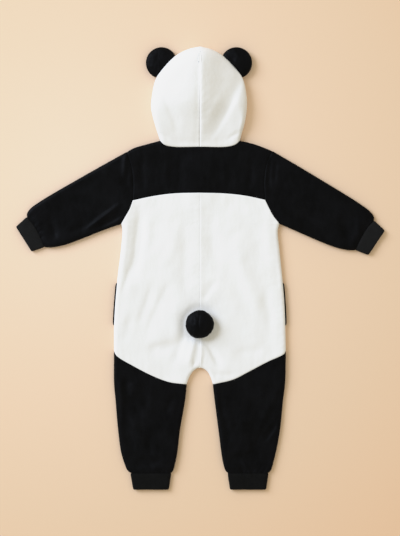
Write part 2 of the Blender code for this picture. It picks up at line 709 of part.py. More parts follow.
def join_lists(first, first_length, second):
    return np.concatenate([first, first_length + np.array(second)[1:]])


def turned_rows(distances, curve):
    return curve.length - np.array(distances)[::-1]


def yoke_grid(half, rows, front):
    """Plan of half a yoke: i from the armhole to the middle, j from the yoke seam up."""
    neckline = half.front_neckline if front else half.back_neckline
    neck_rows = rows.front_neckline if front else rows.back_neckline
    middle = half.zip_yoke if front else half.yoke_middle
    over = joined(half.shoulder, neckline)
    over_rows = join_lists(rows.shoulder, half.shoulder.length, neck_rows)
    start = turned(half.armhole_upper)
    start_rows = turned_rows(rows.armhole_upper, half.armhole_upper)
    seam = half.yoke_seam_front if front else half.yoke_seam
    grid = patch((seam, share(over_rows, over, seam)), (over, over_rows),
                 (start, start_rows), (middle, share(start_rows, start, middle)))
    edge = no_edge(grid)
    corner = len(rows.shoulder)
    edge[:corner, -1] = True
    seams = [Seam("first"), Seam("start"), Seam("last", corner - 1)]
    draw_in(grid, seams)
    return grid, edge, seams


def body_grid(half, rows, front):
    """Plan of half the body: i from the side to the middle, j from the yoke seam down."""
    seam = half.yoke_seam_front if front else half.yoke_seam
    middle = joined(half.zip_front, half.front_closed) if front else half.back_middle
    side = joined(half.armhole_lower, half.side_edge)
    side_rows = join_lists(rows.armhole_lower, half.armhole_lower.length, rows.side)
    hem = joined(half.leg_seam, half.crotch_edge)
    hem_rows = join_lists(rows.leg_seam, half.leg_seam.length, rows.crotch)
    grid = patch((seam, share(hem_rows, hem, seam)), (hem, hem_rows),
                 (side, side_rows), (middle, share(side_rows, side, middle)))
    underarm = len(rows.armhole_lower) - 1
    crotch = len(rows.leg_seam) - 1
    edge = no_edge(grid)
    edge[0, underarm:] = True
    edge[crotch:, -1] = True
    seams = [Seam("first"), Seam("end"), Seam("start", 0, underarm + 1), Seam("last", 0, crotch + 1)]
    draw_in(grid, seams)
    return grid, edge, seams


def leg_grid(half, rows):
    """Plan of a leg: i from the outer edge to the inner, j from the leg seam down."""
    cuff = half.ankle_seam
    inner_rows = share(rows.leg, half.leg_outer, half.leg_inner)
    grid = patch((half.leg_seam, rows.leg_seam), (cuff, spread(rows.leg_seam, half.leg_seam, cuff)),
                 (half.leg_outer, rows.leg), (half.leg_inner, inner_rows))
    edge = no_edge(grid)
    edge[[0, -1]] = True
    seams = [Seam("first"), Seam("last")]
    draw_in(grid, seams)
    return grid, edge, seams


def spread(distances, curve_from, curve_to):
    """Distances on another curve that keep the rolled edges' own offsets at both ends."""
    rolls = len(ROLL_STEPS)
    result = share(distances, curve_from, curve_to)
    result[:rolls] = distances[:rolls]
    result[-rolls:] = curve_to.length - (curve_from.length - distances[-rolls:])
    first, last = result[rolls - 1], result[-rolls]
    middle = distances[rolls - 1:len(distances) - rolls + 1]
    span = (middle - middle[0]) / (middle[-1] - middle[0])
    result[rolls - 1:len(distances) - rolls + 1] = first + span * (last - first)
    return result


def tube(name, grid, thick, mat, seams):
    """A flattened tube of cloth: the upper layer, and the lower layer back under it."""
    draw_in(grid, seams)
    edge = no_edge(grid)
    edge[[0, -1]] = True
    over, over_normal = lay_flat(grid, edge, True, seams)
    under, under_normal = lay_flat(grid, edge, False, seams)
    ring = np.concatenate([over, under[-2:0:-1]])
    ring_normal = np.concatenate([over_normal, under_normal[-2:0:-1]])
    return wall(name, ring, ring_normal, thick, mat, ring=True)


def make_panels(half, mats):
    side = half.side
    rows = Rows(half)
    white, black, rib = mats["fleece"], mats["plush"], mats["rib"]

    grid, edge, seams = body_grid(half, rows, front=False)
    sew("back_" + side, grid, edge, True, FLEECE, white, seams)
    grid, edge, seams = body_grid(half, rows, front=True)
    sew("front_" + side, grid, edge, False, FLEECE, white, seams)
    grid, edge, seams = yoke_grid(half, rows, front=True)
    sew("front_yoke_" + side, grid, edge, False, FLEECE, black, seams)
    grid, edge, seams = leg_grid(half, rows)
    sew("back_leg_" + side, grid, edge, True, FLEECE, black, seams)
    sew("front_leg_" + side, grid, edge, False, FLEECE, black, seams)

    armhole = joined(half.armhole_upper, half.armhole_lower)
    arm_rows = join_lists(rows.armhole_upper, half.armhole_upper.length, rows.armhole_lower)
    cuff_rows = spread(arm_rows, armhole, half.cuff_seam)
    below_rows = share(rows.sleeve, half.sleeve_above, half.sleeve_below)
    grid = patch((armhole, arm_rows), (half.cuff_seam, cuff_rows),
                 (half.sleeve_above, rows.sleeve), (half.sleeve_below, below_rows))
    tube("sleeve_" + side, grid, FLEECE, black, [Seam("first"), Seam("last")])

    for name, seam, end, (start_side, end_side), seam_rows in (
            ("sleeve_cuff_", half.cuff_seam, half.cuff_end, half.sleeve_cuff_sides(), cuff_rows),
            ("ankle_cuff_", half.ankle_seam, half.ankle_end, half.ankle_cuff_sides(),
             spread(rows.leg_seam, half.leg_seam, half.ankle_seam))):
        end_rows = spread(seam_rows, seam, end)
        lengths = np.linspace(0.0, 1.0, 3)
        grid = patch((seam, seam_rows), (end, end_rows),
                     (start_side, lengths * start_side.length),
                     (end_side, lengths * end_side.length))
        tube(name + side, grid, RIB, rib, [Seam("first")])

    make_hood_panel(half, rows, white)


def make_hood_panel(half, rows, mat):
    """From the centre back seam over the edge and under, to the face opening."""
    over = hood_grid(half, rows, True, (half.back_neckline, rows.back_neckline),
                     turned(half.hood_crown), half.hood_seam, 1.0)[::-1]
    under = hood_grid(half, rows, False, (half.front_neckline, rows.front_neckline),
                      half.brow, half.face_edge, FACE_ROW_BIAS)
    neck, middle, fan = Seam("first"), Seam("start"), Seam("last")
    for grid in (over, under):
        draw_in(grid, [neck])
    shift = half.sign * SEAM_GAP / 2
    over[:, -1, 0] += shift
    over[0, :-1, 0] += shift
    under[:, -1, 0] += shift
    over_edge, under_edge = no_edge(over), no_edge(under)
    over_edge[-1] = True
    under_edge[0] = True
    top, top_normal = lay_flat(over, over_edge, True, [neck, middle, fan])
    low, low_normal = lay_flat(under, under_edge, False, [neck, fan])
    wall("hood_" + half.side, np.concatenate([top, low[1:]]),
         np.concatenate([top_normal, low_normal[1:]]), FLEECE, mat)


def hood_grid(half, rows, upper, neck, crown, inner, bias):
    """Plan of one layer of the hood: i from the rolled edge inwards, j from the neck up.

    The roll's rows run square to the outline, and the rest is a patch inside the last one.
    """
    neckline, neck_rows = neck
    rolls = len(ROLL_STEPS)
    crown_rows = rolled_rows(len(neck_rows), crown, HOOD_ROLL_TOP if upper else HOOD_ROLL_UNDER)
    edge = half.hood_edge.at(rows.hood)
    inwards = -OUTLINE.way_out(edge)
    reach = roll_reach(edge[:, 1], upper)
    rolled = []
    for k, angle in enumerate(ROLL_STEPS):
        row = edge + inwards * (reach * (1.0 - cos(radians(angle))))[:, None]
        row[0], row[-1] = neckline.at(neck_rows[k]), crown.at(crown_rows[k])
        rolled.append(row)
    first = polyline(neckline.at(neck_rows[rolls - 1:]))
    last = polyline(crown.at(crown_rows[rolls - 1:]))
    start = polyline(rolled[-1])
    inner_rows = (rows.hood / half.hood_edge.length) ** bias * inner.length
    rest = patch((first, first.along), (last, last.along), (start, start.along),
                 (inner, inner_rows))
    return np.concatenate([rolled[:-1], rest])


def rolled_rows(count, curve, reach):
    """Distances along a curve that starts at a rolled edge: the roll's rows, then even ones."""
    roll = roll_offsets(reach)
    return np.array([*roll[:-1], *np.linspace(roll[-1], curve.length, count - len(roll) + 1)])


def make_back_yoke(mats):
    """One piece from armhole to armhole: the two halves' grids meet in the middle."""
    grids = {side: yoke_grid(half, Rows(half), front=False) for side, half in HALVES.items()}
    left, right = grids["left"], grids["right"]
    grid = np.concatenate([left[0], right[0][-2::-1]])
    edge = np.concatenate([left[1], right[1][-2::-1]])
    neck_from = len(Rows(HALVES["left"]).shoulder) - 1
    seams = [Seam("first"), Seam("start"), Seam("end"), Seam("last", neck_from, -neck_from)]
    sew("back_yoke", grid, edge, True, FLEECE, mats["plush"], seams)


# Trims ------------------------------------------------------------------------------------

def outside_hood(point, half):
    """Distance of a plan point out from the hood's edge."""
    edge = half.hood_edge.points
    k = np.linalg.norm(edge - point, axis=1).argmin()
    return float((np.array(point) - edge[k]) @ OUTLINE.way_out(edge[k:k + 1])[0])


def ear_reach(middle, way, centre, half):
    """How far a ray from the middle of an ear runs, to its rim or to the hood's edge."""
    reach = 0.0
    step = 0.1
    while reach < 2 * EAR_RADIUS:
        point = middle + way * (reach + step)
        if np.linalg.norm(point - centre) > EAR_RADIUS or outside_hood(point, half) < SEAM_GAP:
            break
        reach += step
    return reach


def make_ear(half, mat):
    """Two plush rounds, each with its half of the filling, sewn together at the rim."""
    centre = np.array(EAR_CENTRES[half.side])
    outwards = (centre - EARS_FACE_FROM) / np.linalg.norm(centre - EARS_FACE_FROM)
    middle = centre + outwards * EAR_RADIUS / 3.0
    spokes, rings = 26, (0.45, 0.8, 0.94, 1.0)      # rings as shares of the way to the rim
    plan = [middle]
    for ring in rings:
        for k in range(spokes):
            turn = radians(360.0 / spokes * k)
            way = np.array([cos(turn), sin(turn)])
            plan.append(middle + way * ear_reach(middle, way, centre, half) * ring)
    plan = np.array(plan)
    from_centre = np.clip(np.linalg.norm(plan - centre, axis=1) / EAR_RADIUS, 0.0, 1.0)
    swell = EAR_RIM + (EAR_LOFT / 2.0 - EAR_RIM) * np.sqrt(1.0 - from_centre ** 2)
    count, last = len(plan), len(plan) - spokes
    for part_name, facing in (("back", 1.0), ("front", -1.0)):
        flat_z = EAR_LOFT / 2.0 + facing * SEAM_GAP / 2.0
        domed = np.column_stack([plan, EAR_LOFT / 2.0 + facing * swell])
        flat = np.column_stack([plan[last:], np.full(spokes, flat_z)])
        faces = [[count + k for k in range(spokes)]]
        for k in range(spokes):
            a, b = 1 + k, 1 + (k + 1) % spokes
            faces.append([0, a, b])
            for low in range(0, last - 1, spokes):
                faces.append([low + a, low + spokes + a, low + spokes + b, low + b])
            faces.append([last - 1 + a, last - 1 + b, count - 1 + b, count - 1 + a])
        add_mesh(f"ear_{half.side}_{part_name}", np.vstack([domed, flat]) * MM, faces, mat)


def make_tail(mat):
    """A stuffed ball that sits on the centre back seam."""
    around, up = 28, 9
    foot_turn = -np.arccos(TAIL_FOOT / TAIL_RADIUS)
    swell = TAIL_HEIGHT / (1.0 - sin(foot_turn))
    turns = np.linspace(foot_turn, radians(90.0), up + 1)[:-1]
    angles = np.radians(np.arange(around) * 360.0 / around)
    foot = np.column_stack([np.cos(angles), np.sin(angles)]) * TAIL_FOOT + (0.0, TAIL_Y)
    disc = np.vstack([foot, (foot + (0.0, TAIL_Y)) / 2.0])
    seat = height(disc, True).max() + SEAM_GAP
    verts = [(0.0, TAIL_Y, seat)]
    for turn in turns:
        radius, z = TAIL_RADIUS * cos(turn), seat + swell * (sin(turn) - sin(foot_turn))
        verts += [(radius * cos(a), TAIL_Y + radius * sin(a), z) for a in angles]
    verts.append((0.0, TAIL_Y, seat + TAIL_HEIGHT))
    faces = []
    for k in range(around):
        a, b = 1 + k, 1 + (k + 1) % around
        faces.append([0, a, b])
        for ring in range(up - 1):
            low, high = ring * around, (ring + 1) * around
            faces.append([low + a, low + b, high + b, high + a])
        top = (up - 1) * around
        faces.append([top + a, top + b, len(verts) - 1])
    add_mesh("tail", np.array(verts) * MM, faces, mat)


def make_pocket_welt(half, mat):
    """A folded strip along the side seam, turned round the rolled edge."""
    edge = half.side_edge
    y_down = -edge.points[:, 1]
    start, stop = (np.interp(-y, y_down, edge.along) for y in (WELT_FROM_Y, WELT_TO_Y))
    points = edge.at(np.linspace(start, stop, 7))
    out = OUTLINE.way_out(points)
    outer, normal = [], []
    for turn in np.radians(np.linspace(*WELT_TURN, 5)):
        low = BODY_LOFT / 2.0
        inset = BODY_ROLL * (1.0 - cos(turn))
        face = np.column_stack([out * low * cos(turn), np.full(len(out), BODY_ROLL * sin(turn))])
        face /= np.linalg.norm(face, axis=1)[:, None]
        on_panel = np.column_stack([points - out * inset,
                                    np.full(len(out), low * (1.0 + sin(turn)))])
        outer.append(on_panel + face * (WELT_CLEAR + WELT))
        normal.append(face)
    wall("pocket_welt_" + half.side, np.array(outer), np.array(normal), WELT, mat)


def prism(name, outline, x0, x1, mat):
    """A solid with a convex outline of (y, z) points, from x0 to x1."""
    count = len(outline)
    verts = [(x * MM, y * MM, z * MM) for x in (x0, x1) for y, z in outline]
    faces = [list(range(count)), list(range(2 * count - 1, count - 1, -1))]
    faces += [[k, (k + 1) % count, count + (k + 1) % count, count + k] for k in range(count)]
    return add_mesh(name, verts, faces, mat)


def box(name, x, y, z, mat):
    return prism(name, [(y[0], z[0]), (y[1], z[0]), (y[1], z[1]), (y[0], z[1])], *x, mat)


def circle(y, z, radius, count):
    return [(y + radius * cos(radians(360.0 * k / count)), z + radius * sin(radians(360.0 * k / count)))
            for k in range(count)]


def make_zip_tape(half, mat):
    """A woven tape inside the front's edge, with its row of teeth at the middle."""
    rows = [FRONT_NECK_Y - 1.0, SLIDER_TO_Y, OPEN_FROM_Y, WEDGE_FROM_Y - 4.0]
    rows += list(np.linspace(ZIP_LIFT_ROWS.full_from, ZIP_LIFT_ROWS.from_y, 7))
    rows += [0.0, TAPE_TO_Y]
    seat = FLEECE + SEAM_GAP
    sections = []
    for y in rows:
        is_open = y >= OPEN_FROM_Y
        edge = OPEN_TAPE_EDGE if is_open else SEAM_GAP / 2.0
        depth = TEETH_DEPTH * (OPEN_TEETH if is_open else 1.0)
        section = [(edge, seat - depth), (edge + TEETH_EDGE, seat - depth),
                   (edge + TEETH_EDGE + TEETH_SLOPE, seat), (TAPE_EDGE, seat),
                   (TAPE_EDGE, seat + TAPE), (edge, seat + TAPE)]
        lift = zip_lift(np.zeros(1), np.array([y]))[0]
        sections.append([(half.sign * x * MM, y * MM, (z + lift) * MM) for x, z in section])
    count = len(sections[0])
    verts = [v for section in sections for v in section]
    faces = [list(range(count)), [len(verts) - count + k for k in range(count)]]
    for r in range(len(sections) - 1):
        for k in range(count):
            a, b = r * count + k, r * count + (k + 1) % count
            faces.append([a, b, b + count, a + count])
    add_mesh("zip_tape_" + half.side, verts, faces, mat)


def make_zip_slider(mat):
    """Two plates joined by a wedge round the teeth, and two lugs with a pin between them."""
    seat = ZIP_LIFT + FLEECE + SEAM_GAP
    under = seat - TEETH_DEPTH - SEAM_GAP - SLIDER_PLATE
    over = seat + TAPE + SEAM_GAP
    wide = (-SLIDER_HALF_WIDTH, SLIDER_HALF_WIDTH)
    long = (SLIDER_FROM_Y, SLIDER_TO_Y)
    bite = SLIDER_PLATE / 2.0
    slider = box("zip_slider", wide, long, (under, under + SLIDER_PLATE), mat)
    pieces = [
        box("slider_inner_plate", wide, long, (over, over + SLIDER_PLATE), mat),
        box("slider_wedge", (-WEDGE_HALF_WIDTH, WEDGE_HALF_WIDTH), (WEDGE_FROM_Y, SLIDER_TO_Y - 0.2),
            (under + bite, over + bite), mat),
    ]
    lug = (HINGE_Z - LUG_REACH, under + bite)
    along = (HINGE_Y - LUG_REACH, HINGE_Y + LUG_REACH)
    for sign in SIDES.values():
        across = sorted((sign * LUG_INNER, sign * (SLIDER_HALF_WIDTH - 0.1)))
        pieces.append(box(f"slider_lug_{sign:+.0f}", across, along, lug, mat))
    pin_end = LUG_INNER + 0.5
    pieces.append(prism("slider_pin", circle(HINGE_Y, HINGE_Z, PIN_RADIUS, 12), -pin_end, pin_end, mat))
    for piece in pieces:
        piece.hide_render = True
        piece.display_type = "WIRE"
        union = slider.modifiers.new(piece.name, "BOOLEAN")
        union.operation = "UNION"
        union.object = piece


def make_zip_pull(mat):
    """A flat tab with an eye on the slider's pin. Its own origin is on the hinge's axis."""
    half_thick = PULL_THICK / 2.0
    spread_angle = asin(half_thick / EYE_RADIUS)
    sectors = 9
    turns = np.linspace(spread_angle, radians(360.0) - spread_angle, sectors + 1)
    rim = [(-EYE_RADIUS * cos(t), -EYE_RADIUS * sin(t)) for t in turns]
    hole = [(-EYE_HOLE * cos(t), -EYE_HOLE * sin(t)) for t in turns]
    tip = [(-PULL_LENGTH, half_thick * 0.7), (-PULL_LENGTH, -half_thick * 0.7)]
    plan = rim + hole + tip
    eye = len(rim)
    faces = [[k, k + 1, eye + k + 1, eye + k] for k in range(eye - 1)]
    faces.append([eye - 1, 0, eye, 2 * eye - 1])
    faces.append([0, eye - 1, 2 * eye, 2 * eye + 1])
    count = len(plan)
    edges = {}
    for face in faces:
        for a, b in zip(face, face[1:] + face[:1]):
            edges.setdefault(frozenset((a, b)), []).append((a, b))
    verts = [(x * MM, y * MM, z * MM) for x in (-PULL_HALF_WIDTH, PULL_HALF_WIDTH) for y, z in plan]
    solid = [face[::-1] for face in faces] + [[count + k for k in face] for face in faces]
    solid += [[a, b, count + b, count + a] for (a, b), *other in edges.values() if not other]
    pull = add_mesh("zip_pull", verts, solid, mat)
    pull.location = (0.0, HINGE_Y * MM, HINGE_Z * MM)
    pull.rotation_euler = (radians(PULL_DROOP), 0.0, 0.0)


def main():
    for obj in list(bpy.data.objects):
        bpy.data.objects.remove(obj, do_unlink=True)
    mats = {
        "fleece": material("white_fleece", (0.86, 0.86, 0.85), 0.95),
        "plush": material("black_plush", (0.010, 0.010, 0.012), 0.85),
        "rib": material("charcoal_rib", (0.018, 0.018, 0.020), 0.9),
        "tape": material("zip_tape", (0.75, 0.75, 0.74), 0.8),
        "metal": material("zip_metal", (0.60, 0.60, 0.61), 0.35, 1.0),
    }
    make_back_yoke(mats)
    for half in HALVES.values():
        make_panels(half, mats)
        make_ear(half, mats["plush"])
        make_pocket_welt(half, mats["plush"])
        make_zip_tape(half, mats["tape"])
    make_tail(mats["plush"])
    make_zip_slider(mats["metal"])
    make_zip_pull(mats["metal"])


main()
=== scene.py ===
"""Panda onesie, laid flat on its front: its cloth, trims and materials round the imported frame.

Frame: metres in Blender, millimetres in the tables. +Z up, +Y to the hood, z = 0 the surface.
The plan, the two height fields and the grids are the CAD's own, with closer rows. The cloth
gets its creases in the height fields, and its seams, puckers, ribs and nap as relief along
its normals. Everything is worked out from the tables, with seeded waves where it is uneven.
"""
from collections import namedtuple
from itertools import starmap
from math import cos, pi, radians, sin
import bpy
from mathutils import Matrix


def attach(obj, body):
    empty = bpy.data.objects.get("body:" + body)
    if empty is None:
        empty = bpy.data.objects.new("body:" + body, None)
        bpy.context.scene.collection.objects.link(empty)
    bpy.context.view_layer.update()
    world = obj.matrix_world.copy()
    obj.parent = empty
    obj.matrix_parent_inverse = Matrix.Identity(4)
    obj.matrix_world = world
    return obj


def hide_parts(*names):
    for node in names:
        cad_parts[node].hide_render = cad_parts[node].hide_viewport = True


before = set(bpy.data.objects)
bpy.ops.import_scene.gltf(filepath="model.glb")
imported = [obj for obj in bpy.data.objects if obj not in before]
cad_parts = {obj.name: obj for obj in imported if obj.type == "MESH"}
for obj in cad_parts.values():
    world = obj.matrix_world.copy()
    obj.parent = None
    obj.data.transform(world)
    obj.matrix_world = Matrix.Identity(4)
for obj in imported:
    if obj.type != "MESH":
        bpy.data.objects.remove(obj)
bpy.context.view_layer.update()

from types import SimpleNamespace

import bmesh
import bpy
import numpy as np

MM = 0.001

# Cloth
FLEECE = 3.0
RIB = 2.4
SEAM_GAP = 0.06

# Lie of the garment
BODY_LOFT = 10.0
CUFF_LOFT = 8.0
HOOD_LOFT = 23.0
BODY_ROLL = 7.0
HOOD_ROLL_TOP = 26.0
HOOD_ROLL_UNDER = 9.0
HOOD_ROLL_FROM = 266.0
HOOD_ROLL_RISE = 60.0
MIDDLE_SAG = 0.8
SAG_FROM = 12.0
SAG_WIDTH = 30.0
LEG_NARROWS_Y = -366.0
SLEEVE_NARROWS_AT = 168.0
NARROWS_OVER = 12.0
HOOD_RISE_FROM = 214.0
HOOD_RISE = 95.0

# Upper body
UNDERARM_Y = 82.0
BACK_NECK_Y = 224.5
FRONT_NECK_Y = 186.0
CROTCH_Y = -184.0
CLOSED_FROM_Y = -152.0         # where the front's edges meet below the zip
CROWN_Y = 408.5
ZIP_GAP = 5.0
ZIP_BOTTOM_Y = -140.0
ZIP_CORNER_CLEAR = 0.5
HOOD_FAN_Y = 360.0
FACE_ROW_BIAS = 0.7

Body = namedtuple("Body", "y left right")
BODY_SECTIONS = [
    Body(UNDERARM_Y, 145.0, 147.5), Body(70, 143.0, 144.5), Body(36, 145.5, 147.5),
    Body(-18, 152.0, 153.0), Body(-68, 156.5, 157.0), Body(-108, 158.5, 158.5),
    Body(-152, 158.5, 159.5),
]
Leg = namedtuple("Leg", "y outer_left inner_left inner_right outer_right")
LEG_SECTIONS = [
    Leg(-214, 158.5, 23.5, 24.0, 158.0), Leg(-242, 156.0, 26.5, 27.0, 154.5),
    Leg(-300, 151.0, 36.3, 34.5, 148.5), Leg(-340, 145.5, 41.0, 39.5, 141.0),
    Leg(-360, 139.5, 45.0, 43.0, 136.0), Leg(-373, 134.0, 48.5, 47.0, 132.0),
]
Hood = namedtuple("Hood", "y left right")
HOOD_SECTIONS = [
    Hood(236, 73.5, 74.5), Hood(247, 77.0, 77.0), Hood(268, 83.5, 83.0), Hood(295, 89.5, 87.0),
    Hood(318, 88.0, 86.5), Hood(351, 80.0, 79.0), Hood(376, 62.0, 60.0), Hood(395, 40.0, 38.5),
    Hood(405.5, 17.0, 17.0), Hood(CROWN_Y, 0.0, 0.0),
]
FaceOpening = namedtuple("FaceOpening", "y half_width")
FACE_OPENING = [
    FaceOpening(FRONT_NECK_Y, ZIP_GAP), FaceOpening(199, 19.0), FaceOpening(228, 38.0),
    FaceOpening(268, 51.0), FaceOpening(305, 53.0), FaceOpening(340, 43.0),
    FaceOpening(362, 24.0), FaceOpening(370, 0.0),
]
Sleeve = namedtuple("Sleeve", "along above below")
SLEEVE_SECTIONS = [
    Sleeve(35, 53.2, 57.4), Sleeve(75, 50.3, 54.2), Sleeve(115, 47.3, 51.8),
    Sleeve(150, 43.8, 48.2), Sleeve(172, 39.8, 42.6), Sleeve(182, 34.5, 38.0),
]
SLEEVE_SLANT = 5.5
SLEEVE_CUFF = [(185.5, 28.5), (180.7, 10.0), (179.0, -14.0), (180.0, -36.0)]
SLEEVE_CUFF_END = [(211.0, 20.7), (204.5, -33.3)]
Lay = namedtuple("Lay", "armhole_x armhole_y droop reach")
SLEEVE_LAY = {"left": Lay(-140.0, 149.0, 25.5, 1.0), "right": Lay(140.7, 149.0, 27.0, 1.02)}

# Seams of each half, x outwards from the middle line
SHOULDER = {
    "left": [(134.5, 215.5), (121.5, 222.5), (96, 230), (73.5, 236)],
    "right": [(134.0, 217.0), (120.8, 222.5), (100, 230), (74.5, 236)],
}
YOKE_SEAM = {
    "left": [(123.4, 125.5), (83, 134), (46, 138.5), (0, 139.5)],
    "right": [(120.5, 126.5), (85.5, 134), (46.5, 138.3), (0, 139.5)],
}
ARMHOLE_ABOVE = {"left": [(125.5, 185), (122.5, 155)], "right": [(123.5, 192), (119, 158)]}
ARMHOLE_BELOW = {"left": [(129, 110), (136.3, 97)], "right": [(127.5, 112), (135.6, 97)]}
BACK_NECKLINE = [(66, 228.5), (50, BACK_NECK_Y), (0, BACK_NECK_Y)]
FRONT_NECKLINE = [(64, 217), (42, 197), (18, 187.5), (ZIP_GAP, FRONT_NECK_Y)]
LEG_SEAM = {
    "left": [(153.5, -161), (120, -181.5), (81, -201), (55, -210), (23.5, -214)],
    "right": [(155.5, -158), (127, -171.5), (88, -192), (62, -205), (24, -214)],
}
CROTCH = {
    "left": [(18.3, -200), (12.0, -190.5), (5.0, -185.0)],
    "right": [(19.2, -200), (13.5, -190.5), (5.5, -185.0)],
}
ANKLE_CUFF = {"left": (-378.5, 128.0, 52.4), "right": (-378.5, 127.0, 51.6)}
ANKLE_CUFF_END = {"left": (-408.5, 122.7, 57.0), "right": (-408.5, 122.5, 56.2)}

# Trims
EAR_RADIUS = 29.0
EAR_LOFT = 17.0
EAR_RIM = 1.6
EARS_FACE_FROM = (0.0, 300.0)
EAR_SPOKES = 96
EAR_RINGS = 16
EAR_FILL = 0.5
EAR_STEP = 0.15
EAR_CLEAR = 0.1
EAR_RIM_SHARE = 0.35
EAR_PUCKER = 0.35
EAR_PUCKERS = (17, 1.4, 3)     # round the rim, and how far and how often they wander
EAR_PUCKER_FADE = 4.0
EAR_GROOVE = 0.985             # of the rim's reach
EAR_CENTRES = {"left": (-70.3, 379.0), "right": (67.7, 379.0)}
TAIL_RADIUS = 26.0
TAIL_HEIGHT = 24.0
TAIL_FOOT = 15.0
TAIL_Y = -103.0
TAIL_SUNK = 0.4
TAIL_FILL = 0.9
TAIL_SPOKES = 72
TAIL_RINGS = 36
TAIL_SEAM = (2.0, 9.0, 1.3, 0.7)       # how far and how fast it wanders, its width and depth
TAIL_SEAM_ABOVE = -0.3
WELT = 2.6
WELT_SHOWN = 0.75              # share of it that stands off, pressed by the cloth
WELT_CLEAR = 0.3
WELT_TURNED_IN = 3.2           # of its cut, caught in the side seam and not seen
WELT_FROM_Y = -27.0
WELT_TO_Y = -105.0
WELT_TURN = (-32.0, 18.0)
WELT_ROWS = 60
WELT_COLUMNS = 15
WELT_END = (16, 0.05)          # how square its ends are, and the least of them that is left
WELT_LIP = (8, 0.08)
WELT_LEAST = 0.3
WELT_BACK = 0.4                # share of its clearance at which its back lies

# Zip
ZIP_LIFT = 2.6
ZIP_LIFT_WIDTH = 26.0
Lift = namedtuple("Lift", "from_y full_from full_to to_y")
ZIP_LIFT_ROWS = Lift(80.0, 148.0, 196.0, 220.0)
TAPE = 1.0
TAPE_EDGE = 15.0
TAPE_BOTTOM_Y = ZIP_BOTTOM_Y + 8.0
TAPE_TOP_Y = FRONT_NECK_Y - 1.0
TAPE_SEAT = 0.35
TAPE_CELL = 1.6
TAPE_COLUMNS = [0.0, 1.0, 2.2, *[3.6 + 1.4 * k for k in range(7)], 13.4, 14.4, TAPE_EDGE]
TAPE_CORD = (0.8, 1.2, 0.35)   # where it is sewn in, its width and its height
TAPE_CORD_SHOWN = 0.4          # share of it on the side of the wearer
TAPE_WEAVE = 0.05
OPEN_TAPE_EDGE = 2.3
OPEN_FROM_Y = 176.5
OPEN_OVER = 5.0
TEETH_X = 0.4
TOOTH = [(-0.35, -0.1), (0.3, -0.55), (1.6, -0.55), (2.5, -0.2), (2.5, 0.4), (-0.35, 0.4)]
TOOTH_HALF = 0.62
TOOTH_PITCH = 2.2
TEETH_Y = (TAPE_BOTTOM_Y + 3.0, 168.0)     # up to the slider, and then on from it
OPEN_TEETH_Y = (181.0, FRONT_NECK_Y - 1.5)

# Topstitching: rings of a thread as (place along it, share of its radius), and where it runs
STITCH = [(-0.5, 0.25), (-0.42, 0.8), (0.0, 1.0), (0.42, 0.8), (0.5, 0.25)]
STITCH_SIDES = 6
STITCH_LENGTH = 2.6
STITCH_PITCH = 3.4
STITCH_RADIUS = 0.28
ZIP_STITCHED = (ZIP_GAP + 4.0, 0.12)   # how far out, and how high over the cloth
ZIP_STITCHED_Y = (ZIP_BOTTOM_Y + 4.0, FRONT_NECK_Y - 3.0, 2.0)
FACE_STITCHED = (17.0, 88, 0.35)       # where it starts, its points, how high over the cloth

